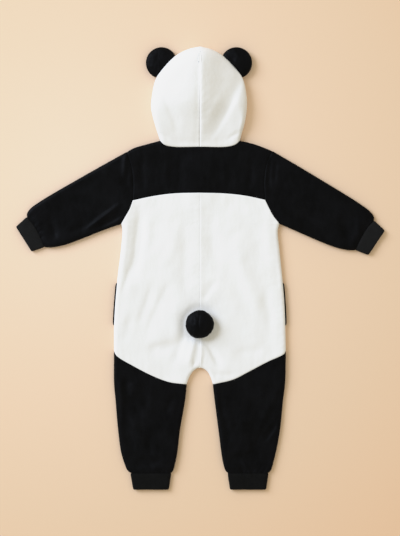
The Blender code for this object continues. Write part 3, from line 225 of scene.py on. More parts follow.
# Creases of the upper layer: ridges (height > 0) and troughs along a bowed line. left and
# right are the widths of the two flanks, seen along the line. bow is to the right.
Crease = namedtuple("Crease", "x0 y0 x1 y1 left right height bow", defaults=(0.0,))
UPPER_CREASES = [
    # white back
    (2.4, 150, 2.4, -196, 4.5, 1.8, 0.35),
    (-111, 112, -129, -22, 10, 9, -3.8, -6),
    (-134, 98, -145, -6, 7, 7, 1.2),
    (-128, 6, -142, -44, 6, 5, -1.3),
    (-88, -28, -114, -104, 11, 6, -1.2, -2),
    (-52, -24, -96, -122, 12, 7, -1.3, 4),
    (-36, 92, -62, 0, 13, 13, 1.2),
    (-22, 60, -28, -50, 13, 9, -1.3, 3),
    (-74, 96, -96, 20, 12, 12, -1.0),
    (62, 60, 116, -92, 16, 14, 2.2, 3),
    (16, 118, 26, -6, 15, 12, -1.6, -3),
    (30, -22, 4, -60, 6, 10, -1.4),
    (66, 116, 62, 66, 12, 12, 0.8),
    (124, 92, 130, -8, 9, 9, 0.6),
    (120, -40, 134, -124, 8, 10, -1.3),
    (-126, -84, -140, -140, 9, 8, -0.9),
    # the star of folds below the tail
    (-48, -66, -44, -128, 13, 16, 1.4),
    (-26, -114, -44, -172, 6, 9, -2.2),
    (-7, -122, -21, -178, 7, 8, 3.0),
    (-9.5, -168, -9.5, -194, 4, 3.5, -1.6),
    (3, -126, 3, -196, 4, 4, 1.5),
    (6, -160, 4, -192, 3, 3, -0.9),
    (10, -132, 38, -182, 8, 5, -2.8),
    (30, -128, 66, -168, 9, 9, 1.2),
    (-96, -150, -36, -140, 9, 12, -2.4),
    (66, -156, 118, -150, 9, 9, -1.0),
    (20, -196, 66, -196, 5, 5, -1.0),
    # sleeves
    (-208, 72, -146, 119, 4.5, 6, 3.0),
    (-196, 64, -146, 98, 6, 5, -2.0),
    (-136, 218, -139, 166, 4, 5, 2.4),
    (-129, 178, -128, 150, 4, 4, 1.2),
    (-276, 98, -266, 54, 6, 8, -2.8),
    (-244, 66, -206, 80, 8, 7, -1.4),
    (-240, 138, -180, 168, 10, 10, -1.1),
    (262, 98, 276, 46, 14, 10, -3.4),
    (292, 92, 296, 56, 6, 7, 1.6),
    (150, 126, 222, 82, 7, 9, -2.0, 2),
    (142, 108, 190, 76, 8, 8, 1.6),
    (131, 208, 127, 150, 4, 4, -2.0),
    (141, 198, 137, 158, 4, 5, -1.6),
    (238, 140, 182, 170, 10, 10, -0.9),
    # yoke
    (-108, 206, -104, 146, 7, 7, -1.4),
    (-60, 210, -64, 150, 9, 9, 0.9),
    (98, 208, 92, 146, 7, 7, -1.4),
    (40, 206, 44, 150, 9, 9, 0.9),
    # legs
    (-147, -196, -143, -300, 5, 7, 1.6),
    (-136, -196, -132, -262, 7, 6, -1.8),
    (-130, -238, -104, -276, 8, 7, -2.2),
    (-124, -210, -116, -232, 9, 9, 1.2),
    (-104, -206, -100, -262, 8, 8, -1.6),
    (-140, -282, -122, -336, 6, 8, -2.4),
    (-126, -276, -108, -330, 8, 7, 1.8),
    (-94, -300, -92, -352, 7, 8, -1.8),
    (-122, -360, -70, -356, 7, 8, -2.4),
    (-48, -232, -62, -266, 8, 6, -1.6),
    (36, -226, 44, -280, 7, 6, -2.0),
    (46, -276, 56, -322, 7, 8, -2.2),
    (78, -268, 82, -330, 14, 12, 1.8),
    (106, -242, 108, -300, 12, 12, -1.7),
    (112, -196, 118, -238, 11, 10, 1.2),
    (142, -284, 118, -320, 5, 6, -2.2),
    (52, -352, 112, -346, 8, 9, -2.8),
    (80, -358, 96, -384, 4, 4, 2.6),
    (72, -362, 84, -384, 4, 4, -1.6),
]
# The hood's crest along its centre seam, and the slack that sinks in beside it
HOOD_CREASES = [
    (2, 200, 2, 424, 70, 30, 8.0),
    (2, 288, 2, 440, 70, 50, 9.2),
    (80, 314, 70, 430, 50, 30, -3.0),
    (-6, 209, 84, 375, 15, 6, -2.7, 11),
    (2, 250, 50, 334, 7, 10, 0.7),
    (3.5, 206, 3.5, 418, 4, 7, 1.0),
    (-1.0, 206, -1.0, 396, 7, 1.8, -1.3),
    (-76, 330, -40, 240, 13, 5, -1.4, -5),
    (-76, 250, -54, 236, 4, 4, -2.4),
    (74, 252, 50, 236, 4, 4, -2.6),
]
NECK_HOLD = 20.0               # the neck seam holds them flat over this length
LOW_SLACK = 0.2                # share of them that is left where the hood starts to rise
LEAST_HOLLOW = 0.2             # left between the layers where a trough comes down on the lower
SOFT_STOP = 0.3
CREASE_FROM = 2.0
CREASE_CLEAR = 10.0
RIM_HOLD = 2.5
CREASE_PAST = 0.12             # share of its length that a crease runs on past each end
CREASE_FADE = 0.42
# Creases of the lower layer press into it from below, where it isn't flat on the surface
LOWER_CREASES = [
    (-96, 62, -60, -22, 9, 9, 0.8),
    (70, 40, 104, -60, 10, 8, 0.9),
    (-44, -120, -84, -156, 8, 8, 0.8),
    (38, -96, 80, -144, 8, 8, 0.8),
    (-200, 74, -150, 112, 8, 8, 0.9),
    (190, 66, 150, 100, 8, 8, 0.9),
    (-110, -240, -96, -300, 9, 9, 0.8),
    (84, -250, 98, -310, 9, 9, 0.8),
    (-66, 300, -60, 260, 8, 8, 0.9),
    (64, 320, 66, 276, 8, 8, 0.8),
]

# The back is drawn down in a ring round the tail's stitching
Ring = namedtuple("Ring", "x y radius inside outside height")
TAIL_RING = Ring(0.0, TAIL_Y, 25.0, 6.0, 11.0, -4.0)

# Closeness of the rows and columns of the cloth
CURVE_STEPS = 12
CELL_UPPER = 2.3
CELL_LOWER = 4.0
CELL_SLEEVE = 2.6
CELL_RIB = 0.62
ROLL_STEPS = [10.0 * k for k in range(10)]
CUFF_ROLL_STEPS = [5.0 * k for k in range(19)]
SEAM_STEPS = (0.0, 0.4, 0.9, 1.6, 2.6, 4.0)
PROBE = 0.25
NEAR_EDGE = 1.0
LEAST_WALL = 0.05
CHUNK = 1200

# Relief of the cloth, along its normals: a dip along each seam, and puckers beside it
Dip = namedtuple("Dip", "depth fade pucker")
SEAM = Dip(0.7, 1.3, 0.07)
CUFF_SEAM = Dip(0.7, 1.3, 0.0)
HOOD_SEAM = Dip(0.15, 1.0, 0.07)
CENTRE_SEAM = Dip(0.18, 0.9, 0.07)
SIDE_SEAM = Dip(0.4, 1.1, 0.07)
ZIP_HEM = Dip(0.5, 1.0, 0.05)
FACE_HEM = Dip(0.5, 1.0, 0.0)
SEAM_PRESS = (2.0, 0.6)        # width of the strip where a seam presses the nap, and how much
PUCKER_PITCH = 13.0
PUCKER_FADE = 7.0
GATHER = 0.55                  # of the cloth that is drawn into a cuff
GATHER_PITCH = 10.5
GATHER_FADE = 11.0
GATHER_SHAPE = 1.5
HEM_STITCHED = (9.0, 1.0, 0.5)         # from the face opening's edge, its width and its depth
CROWN_KNOB = (2.5, 405.0, 17.0)        # where the hood's seam allowances bunch up
CROWN_KNOB_WIDTH = 6.0
CROWN_KNOB_RISE = 1.4
RIB_PITCH = 2.5
RIB_DEPTH = 0.42
RIB_SHARPNESS = 1.2
RIB_AT_SEAM = 0.4
RIB_GROWS_OVER = 2.0
RIB_LEVEL = 0.55               # of a rib's height that lies under the plain face
CUFF_LENGTHS = ((0.0, 0.02, 0.045), 0.075, (0.0, 0.012, 0.03))
CUFF_SEAM_DIP = (1.6, 0.7)     # how far it fades, and its depth
CUFF_END_ROUND = (0.9, 0.8, 0.6)       # how far it fades, and how much outside and inside lose

# Unevenness: (height, length of its swells, seed)
LIE_UNEVEN = [(0.40, 52.0, 3), (0.10, 21.0, 4)]
NAP_UNEVEN = [(0.05, 7.5, 5), (0.04, 4.6, 6)]
PUCKER_WANDER = [(1.6, 60.0, 8)]
GATHER_WANDER = [(2.4, 38.0, 9)]
RIB_UNEVEN = [(0.05, 9.0, 12)]
EAR_UNEVEN = [(0.25, 9.0, 21), (0.5, 24.0, 22)]
TAIL_UNEVEN = [(0.30, 8.0, 31), (0.5, 30.0, 32)]
WELT_UNEVEN = [(0.12, 8.0, 41)]
WAVES = 14
WAVE_TILT = 0.5
WAVE_SPREAD = (0.7, 1.5)
WAVE_SIZE = 0.8

# Stage
MM_PER_PIXEL = 1.85
CAMERA_HEIGHT = 3.0
FRAME_LONG_SIDE = 536
SENSOR = 36.0
CAMERA_AT = (0.00056, 0.00074)
RESPONSE = [(0.0, 0.0), (0.76, 0.775), (0.85, 0.853), (0.93, 0.880), (1.10, 0.900), (2.0, 0.93)]
KEY_LIGHT = dict(place=(-5.0, 3.1, 3.8), size=4.6, power=356.0, colour=(0.87, 1.0, 1.265))
SKY_COLOUR = (1.066, 1.0, 0.820, 1.0)
SKY_STRENGTH = 0.612
FLOOR_RADIUS = 4.5
FLOOR_SIDES = 96
FLOOR_Z = -0.0003
# The floor's tones are a painted pool of light: palest at a spot towards the key light, deeper further
# out
FLOOR_LIGHT_POOL_PLACE = ((0.833, 0.833, 0.833), (0.175, -0.117, 0.0))  # scale, shift
FLOOR_LIGHT_POOL_TONES = [(0.30, (0.825, 0.575, 0.380)), (0.5, (0.832, 0.622, 0.440)),
               (0.75, (0.890, 0.676, 0.505)), (1.0, (0.940, 0.740, 0.585))]

SIDES = {"left": -1.0, "right": 1.0}


def smooth(t):
    t = np.clip(t, 0.0, 1.0)
    return t * t * (3.0 - 2.0 * t)


def bell(distance, width):
    """One at no distance, and next to nothing two widths away."""
    return np.exp(-(distance / width) ** 2)


def unit(vectors):
    return vectors / np.linalg.norm(vectors, axis=-1)[..., None]


def waves(points, length, seed):
    """Smooth uneven field from -1 to 1 about, with swells of this length in millimetres."""
    rng = np.random.default_rng(seed)
    turn = rng.uniform(0.0, 2 * pi, WAVES)
    tilt = rng.uniform(-WAVE_TILT, WAVE_TILT, WAVES)
    pitch = 2 * pi / (length * rng.uniform(*WAVE_SPREAD, WAVES))
    start = rng.uniform(0.0, 2 * pi, WAVES)
    ways = np.stack([np.cos(turn), np.sin(turn), tilt], -1)[:, :points.shape[-1]]
    total = np.zeros(points.shape[:-1])
    for way, per_mm, at_start in zip(ways, pitch, start):
        total += np.sin((points @ way) * per_mm + at_start)
    return total / WAVES ** 0.5 * WAVE_SIZE


def uneven(points, swells):
    return sum(size * waves(points, length, seed) for size, length, seed in swells)


# Plan curves ------------------------------------------------------------------------------

def run_along(points):
    """The distance of each point of a line from its start."""
    return np.concatenate([[0.0], np.cumsum(np.linalg.norm(np.diff(points, axis=0), axis=1))])


def right_of(steps):
    return unit(np.stack([steps[:, 1], -steps[:, 0]], -1))


def catmull_rom(*four):
    """Points from the second up to the third on the centripetal Catmull-Rom curve."""
    knots = [0.0]
    for a, b in zip(four, four[1:]):
        knots.append(knots[-1] + np.linalg.norm(b - a) ** 0.5)
    t = np.linspace(knots[1], knots[2], CURVE_STEPS, endpoint=False)[:, None]

    def mix(a, b, i, j):
        span = knots[j] - knots[i]
        return (knots[j] - t) / span * a + (t - knots[i]) / span * b

    a1, a2, a3 = (mix(four[k], four[k + 1], k, k + 1) for k in range(3))
    return mix(mix(a1, a2, 0, 2), mix(a2, a3, 1, 3), 1, 2)


class Curve:
    """A plan curve through a few points, rounded or straight, read by the distance along it."""

    def __init__(self, points, rounded=True):
        pts = np.array(points, float)
        if rounded and len(pts) > 2:
            ends = [2 * pts[0] - pts[1], *pts, 2 * pts[-1] - pts[-2]]
            runs = [catmull_rom(*four) for four in zip(ends, ends[1:], ends[2:], ends[3:])]
            pts = np.vstack([*runs, pts[-1:]])
        self.points, self.along = pts, run_along(pts)
        self.length = self.along[-1]

    def at(self, s):
        return np.stack([np.interp(s, self.along, column) for column in self.points.T], -1)


class Run:
    """A curve with the distances along it at which a panel's rows meet it."""

    def __init__(self, curve, rows):
        self.curve, self.rows = curve, np.array(rows)

    def then(self, after):
        points = np.vstack([self.curve.points, after.curve.points[1:]])
        return Run(Curve(points, rounded=False), [*self.rows, *self.curve.length + after.rows[1:]])

    def turned(self):
        length = self.curve.length
        return Run(Curve(self.curve.points[::-1], rounded=False), length - self.rows[::-1])

    def onto(self, curve, rolls=0):
        """The rows in proportion on another curve, where rolled edges keep their offsets."""
        rows = self.rows / self.curve.length * curve.length
        if rolls:
            rows[:rolls] = self.rows[:rolls]
            rows[-rolls:] = curve.length - (self.curve.length - self.rows[-rolls:])
            first, last = rows[rolls - 1], rows[-rolls]
            middle = slice(rolls - 1, len(rows) - rolls + 1)
            span = self.rows[middle] - self.rows[rolls - 1]
            rows[middle] = first + span / span[-1] * (last - first)
        return Run(curve, rows)


def roll_offsets(reach, steps=ROLL_STEPS):
    """Distances in from a rolled edge at which its rows lie."""
    return [reach * (1.0 - cos(radians(angle))) for angle in steps]


def stations(length, cell, start=(0.0,), end=(0.0,), like=None):
    """Distances along a curve: the start's own, even ones a cell apart, and the end's.

    like is the length that gives their number, the same for both halves.
    """
    first, last = start[-1], length - end[-1]
    count = max(2, round(((like or length) - first - end[-1]) / cell))
    even = np.linspace(first, last, count + 1)
    return np.array([*start[:-1], *even, *[length - e for e in reversed(end[:-1])]])


def sleeve_ways(side):
    """The way along a sleeve, and the way across it to its upper edge."""
    droop, sign = radians(SLEEVE_LAY[side].droop), SIDES[side]
    return np.array([cos(droop) * sign, -sin(droop)]), np.array([sin(droop) * sign, cos(droop)])


class Half:
    """The curves of one half of the garment, on the left or on the right."""

    def __init__(self, side):
        sign, lay = SIDES[side], SLEEVE_LAY[side]
        out, up = sleeve_ways(side)

        def place(points):
            return [(sign * x, y) for x, y in points]

        def widths(sections, width):
            return place([(getattr(row, width), row.y) for row in sections])

        def on_sleeve(points):
            return [(lay.armhole_x, lay.armhole_y) + along * lay.reach * out + off * up
                    for along, off in points]

        shoulder, yoke = place(SHOULDER[side]), place(YOKE_SEAM[side])
        body, hood = widths(BODY_SECTIONS, side), widths(HOOD_SECTIONS, side)
        outer, inner = (widths(LEG_SECTIONS, edge + side) for edge in ("outer_", "inner_"))
        cuff_y, *cuff_x = ANKLE_CUFF[side]
        end_y, *end_x = ANKLE_CUFF_END[side]
        ankle = place([(x, cuff_y) for x in cuff_x])
        shorter = 1.0 - SLEEVE_SLANT / SLEEVE_SECTIONS[-1].along
        above = on_sleeve([(row.along, row.above) for row in SLEEVE_SECTIONS])
        below = on_sleeve([(row.along * shorter, -row.below) for row in SLEEVE_SECTIONS[1:]])
        cuff = on_sleeve(SLEEVE_CUFF)
        crotch, crown, fan = (0.0, CROTCH_Y), (0.0, CROWN_Y), (0.0, HOOD_FAN_Y)

        curves = dict(
            shoulder=shoulder,
            armhole_upper=[shoulder[0], *place(ARMHOLE_ABOVE[side]), yoke[0]],
            armhole_lower=[yoke[0], *place(ARMHOLE_BELOW[side]), body[0]],
            yoke_seam=yoke,
            back_neckline=[shoulder[-1], *place(BACK_NECKLINE)],
            front_neckline=[shoulder[-1], *place(FRONT_NECKLINE)],
            side_edge=body,
            leg_seam=[body[-1], *place(LEG_SEAM[side])],
            crotch_edge=[inner[0], *place(CROTCH[side]), crotch],
            leg_outer=[body[-1], *outer, ankle[0]],
            leg_inner=[*inner, ankle[1]],
            ankle_seam=ankle,
            ankle_end=place([(x, end_y) for x in end_x]),
            sleeve_above=[shoulder[0], *above, cuff[0]],
            sleeve_below=[body[0], *below, cuff[-1]],
            cuff_seam=cuff,
            cuff_end=on_sleeve(SLEEVE_CUFF_END),
            hood_edge=hood,
            hood_seam=[(0.0, BACK_NECK_Y), fan],
            hood_crown=[crown, fan],
            face_edge=widths(FACE_OPENING, "half_width"),
            brow=[crown, (0.0, FACE_OPENING[-1].y)],
            yoke_middle=[yoke[-1], (0.0, BACK_NECK_Y)],
            back_middle=[yoke[-1], crotch])
        vars(self).update({name: Curve(points) for name, points in curves.items()})
        self.side, self.sign = side, sign

        seam = self.yoke_seam.points
        zip_y = np.interp(ZIP_GAP, np.abs(seam[::-1, 0]), seam[::-1, 1])
        zip_top, zip_end = place([(ZIP_GAP, zip_y), (ZIP_GAP, ZIP_BOTTOM_Y)])
        keep = seam[np.abs(seam[:, 0]) > ZIP_GAP + ZIP_CORNER_CLEAR]
        self.yoke_seam_front = Curve([*keep, zip_top], rounded=False)
        self.zip_yoke = Curve([zip_top, (zip_top[0], FRONT_NECK_Y)])
        self.front_middle = Curve([zip_top, zip_end, (0.0, CLOSED_FROM_Y), crotch], rounded=False)

    def cuff_sides(self, seam, end):
        return [Curve([seam.points[k], end.points[k]]) for k in (0, -1)]

    def rolled_edges(self):
        """The outline of this half, as chains of points, without the cuffs' open ends."""
        arm_top, arm_low = self.cuff_sides(self.cuff_seam, self.cuff_end)
        leg_out, leg_in = self.cuff_sides(self.ankle_seam, self.ankle_end)
        over = [(arm_top, -1), (self.sleeve_above, -1), (self.shoulder, 1), (self.hood_edge, 1)]
        outer = [(arm_low, -1), (self.sleeve_below, -1), (self.side_edge, 1), (self.leg_outer, 1),
                 (leg_out, 1)]
        inner = [(leg_in, -1), (self.leg_inner, -1), (self.crotch_edge, 1)]
        return [np.vstack([curve.points[::way][min(k, 1):] for k, (curve, way) in enumerate(chain)])
                for chain in (over, outer, inner)]


HALVES = {side: Half(side) for side in SIDES}


class Outline:
    """Distance in from one half's outline, and the way out to it."""

    def __init__(self, half):
        starts, ends, corners, normals = [], [], [], []
        for chain, flip in zip(half.rolled_edges(), (1.0, -1.0, -1.0)):
            out = right_of(np.diff(chain, axis=0)) * half.sign * flip
            starts.append(chain[:-1])
            ends.append(chain[1:])
            corners.append(chain)
            normals.append(unit(np.vstack([out[:1], out[:-1] + out[1:], out[-1:]])))
        self.a, self.b, self.corner, self.normal = map(np.vstack, (starts, ends, corners, normals))

    def distance(self, points):
        run = self.b - self.a
        off_x, off_y = (points[:, k, None] - self.a[:, k] for k in (0, 1))
        t = off_x * run[:, 0] + off_y * run[:, 1]
        t /= (run * run).sum(-1)
        np.clip(t, 0.0, 1.0, out=t)
        off_x -= t * run[:, 0]
        off_y -= t * run[:, 1]
        return np.sqrt((off_x * off_x + off_y * off_y).min(axis=1))

    def way_out(self, points):
        gap = np.linalg.norm(points[:, None, :] - self.corner, axis=-1)
        return self.normal[gap.argmin(axis=1)]


OUTLINES = {side: Outline(half) for side, half in HALVES.items()}


def by_half(points, ask, answer):
    """Asks each half's outline about the points on its own side, a few at a time."""
    on_right = points[:, 0] > 0
    for side, mine in (("left", ~on_right), ("right", on_right)):
        mine = np.flatnonzero(mine)
        for k in range(0, len(mine), CHUNK):
            few = mine[k:k + CHUNK]
            answer[few] = getattr(OUTLINES[side], ask)(points[few])
    return answer


def inset_of(points):
    return by_half(points, "distance", np.zeros(len(points)))


def way_out(points):
    return by_half(points, "way_out", np.zeros((len(points), 2)))


# Height fields ----------------------------------------------------------------------------

def cuff_share(x, y):
    """One where a leg or a sleeve is narrow at its cuff, and nothing before that."""
    share = smooth((LEG_NARROWS_Y - y) / NARROWS_OVER)
    for side, lay in SLEEVE_LAY.items():
        out, _ = sleeve_ways(side)
        along = ((x - lay.armhole_x) * out[0] + (y - lay.armhole_y) * out[1]) / lay.reach
        share = np.maximum(share, smooth((along - SLEEVE_NARROWS_AT) / NARROWS_OVER))
    return share


def hood_share(y):
    return smooth((y - HOOD_RISE_FROM) / HOOD_RISE)


def loft(x, y):
    hood = hood_share(y) * (HOOD_LOFT - BODY_LOFT)
    return BODY_LOFT + hood - cuff_share(x, y) * (BODY_LOFT - CUFF_LOFT)


def zip_lift(x, y):
    lift = ZIP_LIFT_ROWS
    rising = smooth((y - lift.from_y) / (lift.full_from - lift.from_y))
    falling = smooth((y - lift.full_to) / (lift.to_y - lift.full_to))
    aside = smooth((np.abs(x) - TAPE_EDGE) / ZIP_LIFT_WIDTH)
    return ZIP_LIFT * rising * (1.0 - falling) * (1.0 - aside)


def crease_height(x, y, creases):
    """Creases are strongest in the middle of their line and fade towards its ends."""
    total = np.zeros_like(x)
    for c in starmap(Crease, creases):
        run = np.array([c.x1 - c.x0, c.y1 - c.y0])
        length = np.linalg.norm(run)
        t = ((x - c.x0) * run[0] + (y - c.y0) * run[1]) / length ** 2
        fade = smooth((t + CREASE_PAST) / CREASE_FADE) * smooth((1.0 + CREASE_PAST - t) / CREASE_FADE)
        off = ((x - c.x0) * run[1] - (y - c.y0) * run[0]) / length
        off -= c.bow * (1.0 - (2.0 * t - 1.0) ** 2)
        total += c.height * fade * bell(off, np.where(off > 0, c.right, c.left))
    return total


def ring_height(x, y, ring):
    off = np.hypot(x - ring.x, y - ring.y) - ring.radius
    return ring.height * bell(off, np.where(off > 0, ring.outside, ring.inside))


def roll_reach(y, upper):
    if not upper:
        return BODY_ROLL + hood_share(y) * (HOOD_ROLL_UNDER - BODY_ROLL)
    return BODY_ROLL + smooth((y - HOOD_ROLL_FROM) / HOOD_ROLL_RISE) * (HOOD_ROLL_TOP - BODY_ROLL)


def height(points, upper, inset=None):
    """Height of the outer face of the upper or the lower layer over plan points."""
    x, y = points[:, 0], points[:, 1]
    if inset is None:
        inset = inset_of(points)
    half = loft(x, y) / 2.0
    turn = np.clip(inset / roll_reach(y, upper), 0.0, 1.0)
    swell = np.sqrt(1.0 - (1.0 - turn) ** 2)
    clear = smooth((inset - CREASE_FROM) / CREASE_CLEAR)
    under, creases = half * (1.0 - swell), crease_height(x, y, LOWER_CREASES) * clear
    if not upper:
        return under + zip_lift(x, y) + creases
    under += creases
    sag = MIDDLE_SAG * smooth((inset - SAG_FROM) / SAG_WIDTH) * (1.0 - hood_share(y))
    creases = crease_height(x, y, UPPER_CREASES) + ring_height(x, y, TAIL_RING)
    creases = (creases + uneven(points, LIE_UNEVEN)) * clear
    held = smooth((y - BACK_NECK_Y) / NECK_HOLD) * (LOW_SLACK + (1.0 - LOW_SLACK) * hood_share(y))
    creases += crease_height(x, y, HOOD_CREASES) * held * swell
    room = np.maximum(half * (1.0 + swell) - sag - under - 2.0 * FLEECE - LEAST_HOLLOW, 0.0)
    creases = SOFT_STOP * np.logaddexp(0.0, (creases + room) / SOFT_STOP) - room
    return half * (1.0 + swell) - sag + creases * smooth(inset / RIM_HOLD) + zip_lift(x, y)


def rolled_normal(points, upper, inset):
    half = loft(points[:, 0], points[:, 1]) / 2.0
    reach = roll_reach(points[:, 1], upper)
    level = 1.0 - np.clip(inset / reach, 0.0, 1.0)
    rise = reach * np.sqrt(1.0 - level ** 2) * (1.0 if upper else -1.0)
    return np.column_stack([way_out(points) * (half * level)[:, None], rise])


def lay_flat(panel, upper, gap=0.0):
    """Points, outward unit normals and the share of the wall's thickness over a plan grid."""
    grid, edge, seams = panel
    flat, edge = grid.reshape(-1, 2), edge.reshape(-1)
    facing = 1.0 if upper else -1.0
    inset = inset_of(flat)
    z = height(flat, upper, inset)
    slope = [(height(flat + step, upper) - height(flat - step, upper)) / (2 * PROBE)
             for step in np.eye(2) * PROBE]
    normal = np.stack([-slope[0] * facing, -slope[1] * facing, np.full_like(z, facing)], -1)
    near = (inset < NEAR_EDGE) & ~edge
    normal[near] = rolled_normal(flat[near], upper, inset[near])
    normal[edge, :2] = way_out(flat[edge])
    normal[edge, 2] = 0.0
    stop = loft(flat[:, 0], flat[:, 1]) / 2.0 + facing * gap / 2.0
    z = np.where(edge, stop, facing * np.maximum(facing * z, facing * stop))
    normal = normal.reshape(*grid.shape[:-1], 3)
    for seam in seams:
        across, normals = seam.across(grid), seam.rim(normal)
        normals[:, :2] -= (normals[:, :2] * across).sum(1)[:, None] * across
    normal = unit(normal)
    room = (facing * (z - stop) / FLEECE).reshape(grid.shape[:-1])
    steep = np.maximum(facing * normal[..., 2], 1e-9)
    wall_share = np.clip(room / steep, LEAST_WALL, 1.0) ** (steep > 1e-6)
    return np.concatenate([grid, z.reshape(*grid.shape[:-1], 1)], axis=-1), normal, wall_share


# Grids ------------------------------------------------------------------------------------

def patch(first, last, start, end):
    """Grid of plan points inside four curves, each with its own rows."""
    sides = (first, last, start, end)
    low, high, near, far = (run.curve.at(run.rows) for run in sides)
    u0, u1, v0, v1 = (run.rows / run.curve.length for run in sides)
    v = np.broadcast_to((v0 + v1)[None, :] / 2, (len(u0), len(v0)))
    for _ in range(3):
        u = u0[:, None] * (1 - v) + u1[:, None] * v
        v = v0[None, :] * (1 - u) + v1[None, :] * u
    u, v = u[..., None], v[..., None]
    return ((1 - v) * low[:, None] + v * high[:, None] + (1 - u) * near[None] + u * far[None]
            - (1 - u) * (1 - v) * low[0] - u * (1 - v) * low[-1]
            - (1 - u) * v * high[0] - u * v * high[-1])


class Seam:
    """One edge of a panel's grid, or a stretch of it, that is sewn to another panel."""

    def __init__(self, edge, start=None, stop=None):
        self.edge, self.stretch = edge, slice(start, stop)

    def rim(self, array, inset=0):
        row = inset if self.edge in ("first", "start") else -1 - inset
        if self.edge in ("first", "last"):
            return array[self.stretch, row]
        return array[row, self.stretch]

    def across(self, grid):
        return right_of(np.gradient(self.rim(grid), axis=0))


Panel = namedtuple("Panel", "grid edge seams")


def make_panel(grid, edges, *seams):
    """Marks the edges where the layers meet, and moves each seam half a gap into the panel."""
    edge = np.zeros(grid.shape[:2], bool)
    for stretch in edges:
        edge[stretch] = True
    moves = []
    for seam in seams:
        across = seam.across(grid)
        inward = ((seam.rim(grid, 1) - seam.rim(grid)) * across).sum(1)
        moves.append(across * np.sign(inward)[:, None] * SEAM_GAP / 2.0)
    for seam, move in zip(seams, moves):
        seam.rim(grid)[...] += move
    return Panel(grid, edge, seams)


def runs_of(half, cell):
    """One half's curves with the rows that are shared by the panels that meet there."""
    plain, roll, seam = (0.0,), roll_offsets(BODY_ROLL), SEAM_STEPS
    ends = dict(
        shoulder=(seam, plain), back_neckline=(roll, plain), front_neckline=(roll, seam),
        armhole_upper=(roll, seam), armhole_lower=(seam, roll), side_edge=(plain, seam),
        leg_seam=(roll, roll), crotch_edge=(plain, seam), sleeve_above=(seam, seam),
        leg_outer=(seam, seam), hood_edge=(seam, seam))
    runs = {}
    for name, (start, end) in ends.items():
        curve, like = getattr(half, name), getattr(HALVES["left"], name).length
        runs[name] = Run(curve, stations(curve.length, cell, start, end, like))
    return SimpleNamespace(**runs)


def yoke_panel(half, runs, front):
    neckline = runs.front_neckline if front else runs.back_neckline
    seam = half.yoke_seam_front if front else half.yoke_seam
    middle = half.zip_yoke if front else half.yoke_middle
    over, start = runs.shoulder.then(neckline), runs.armhole_upper.turned()
    grid = patch(over.onto(seam), over, start, start.onto(middle))
    corner = len(runs.shoulder.rows)
    return make_panel(grid, [np.s_[:corner, -1]],
                      Seam("first"), Seam("start"), Seam("last", corner - 1))


def body_panel(half, runs, front):
    seam = half.yoke_seam_front if front else half.yoke_seam
    middle = half.front_middle if front else half.back_middle
    side = runs.armhole_lower.then(runs.side_edge)
    hem = runs.leg_seam.then(runs.crotch_edge)
    grid = patch(hem.onto(seam), hem, side, side.onto(middle))
    underarm, crotch = len(runs.armhole_lower.rows) - 1, len(runs.leg_seam.rows) - 1
    return make_panel(grid, [np.s_[0, underarm:], np.s_[crotch:, -1]], Seam("first"), Seam("end"),
                      Seam("start", 0, underarm + 1), Seam("last", 0, crotch + 1))


def leg_panel(half, runs):
    cuff = runs.leg_seam.onto(half.ankle_seam, len(ROLL_STEPS))
    grid = patch(runs.leg_seam, cuff, runs.leg_outer, runs.leg_outer.onto(half.leg_inner))
    return make_panel(grid, [0, -1], Seam("first"), Seam("last"))


def hood_grid(half, runs, upper, neck, crown, inner, bias):
    """Plan of one layer of the hood: i from the rolled edge inwards, j from the neck up."""
    rolls, edge_rows = len(ROLL_STEPS), runs.hood_edge.rows
    roll = roll_offsets(HOOD_ROLL_TOP if upper else HOOD_ROLL_UNDER)
    even = np.linspace(roll[-1], crown.length, len(neck.rows) - rolls + 1)
    at_neck, at_crown = neck.curve.at(neck.rows), crown.at([*roll[:-1], *even])
    edge = half.hood_edge.at(edge_rows)
    inwards = -way_out(edge + (half.sign * 1e-6, 0.0))
    rolled = []
    for k, offset in enumerate(roll_offsets(roll_reach(edge[:, 1], upper))):
        row = edge + inwards * offset[:, None]
        row[0], row[-1] = at_neck[k], at_crown[k]
        rolled.append(row)
    sides = [Curve(line, rounded=False)
             for line in (at_neck[rolls - 1:], at_crown[rolls - 1:], rolled[-1])]
    inner_rows = (edge_rows / half.hood_edge.length) ** bias * inner.length
    rest = patch(*[Run(side, side.along) for side in sides], Run(inner, inner_rows))
    return np.concatenate([rolled[:-1], rest])


# Relief -----------------------------------------------------------------------------------

def rim_distance(outer, edge):
    """Distance of each point from the panel's edge, and the run along that edge."""
    rim = {"first": np.s_[:, :1], "last": np.s_[:, -1:], "start": np.s_[:1], "end": np.s_[-1:]}[edge]
    line = outer[rim]
    return np.linalg.norm(outer - line, axis=-1), run_along(line.reshape(-1, 3)).reshape(line.shape[:2])


def relief(outer, dips, gathered=False):
    """How far the finished face stands off the plain one."""
    total = uneven(outer, NAP_UNEVEN)
    press_width, press = SEAM_PRESS
    for edge, (depth, fade, pucker) in dips.items():
        away, run = rim_distance(outer, edge)
        total = total * (1.0 - bell(away, press_width) * press) - depth * bell(away, fade)
        wave = np.cos(2 * pi * run / PUCKER_PITCH + uneven(outer, PUCKER_WANDER))
        near = (away / PUCKER_FADE) * np.exp(1.0 - away / PUCKER_FADE)
        total += pucker * wave * np.clip(near, 0.0, 1.0)
    if gathered:
        away, run = rim_distance(outer, "last")
        wander = uneven(outer[..., :2], GATHER_WANDER)
        wave = 0.5 + 0.5 * np.cos(2 * pi * run / GATHER_PITCH + wander)
        total -= GATHER * wave ** 2 * np.exp(-(away / GATHER_FADE) ** GATHER_SHAPE)
    return total


# Meshes -----------------------------------------------------------------------------------

def add_object(name, data, place=(0.0, 0.0, 0.0)):
    obj = bpy.data.objects.new(name, data)
    obj.location = place
    bpy.context.scene.collection.objects.link(obj)
    return obj


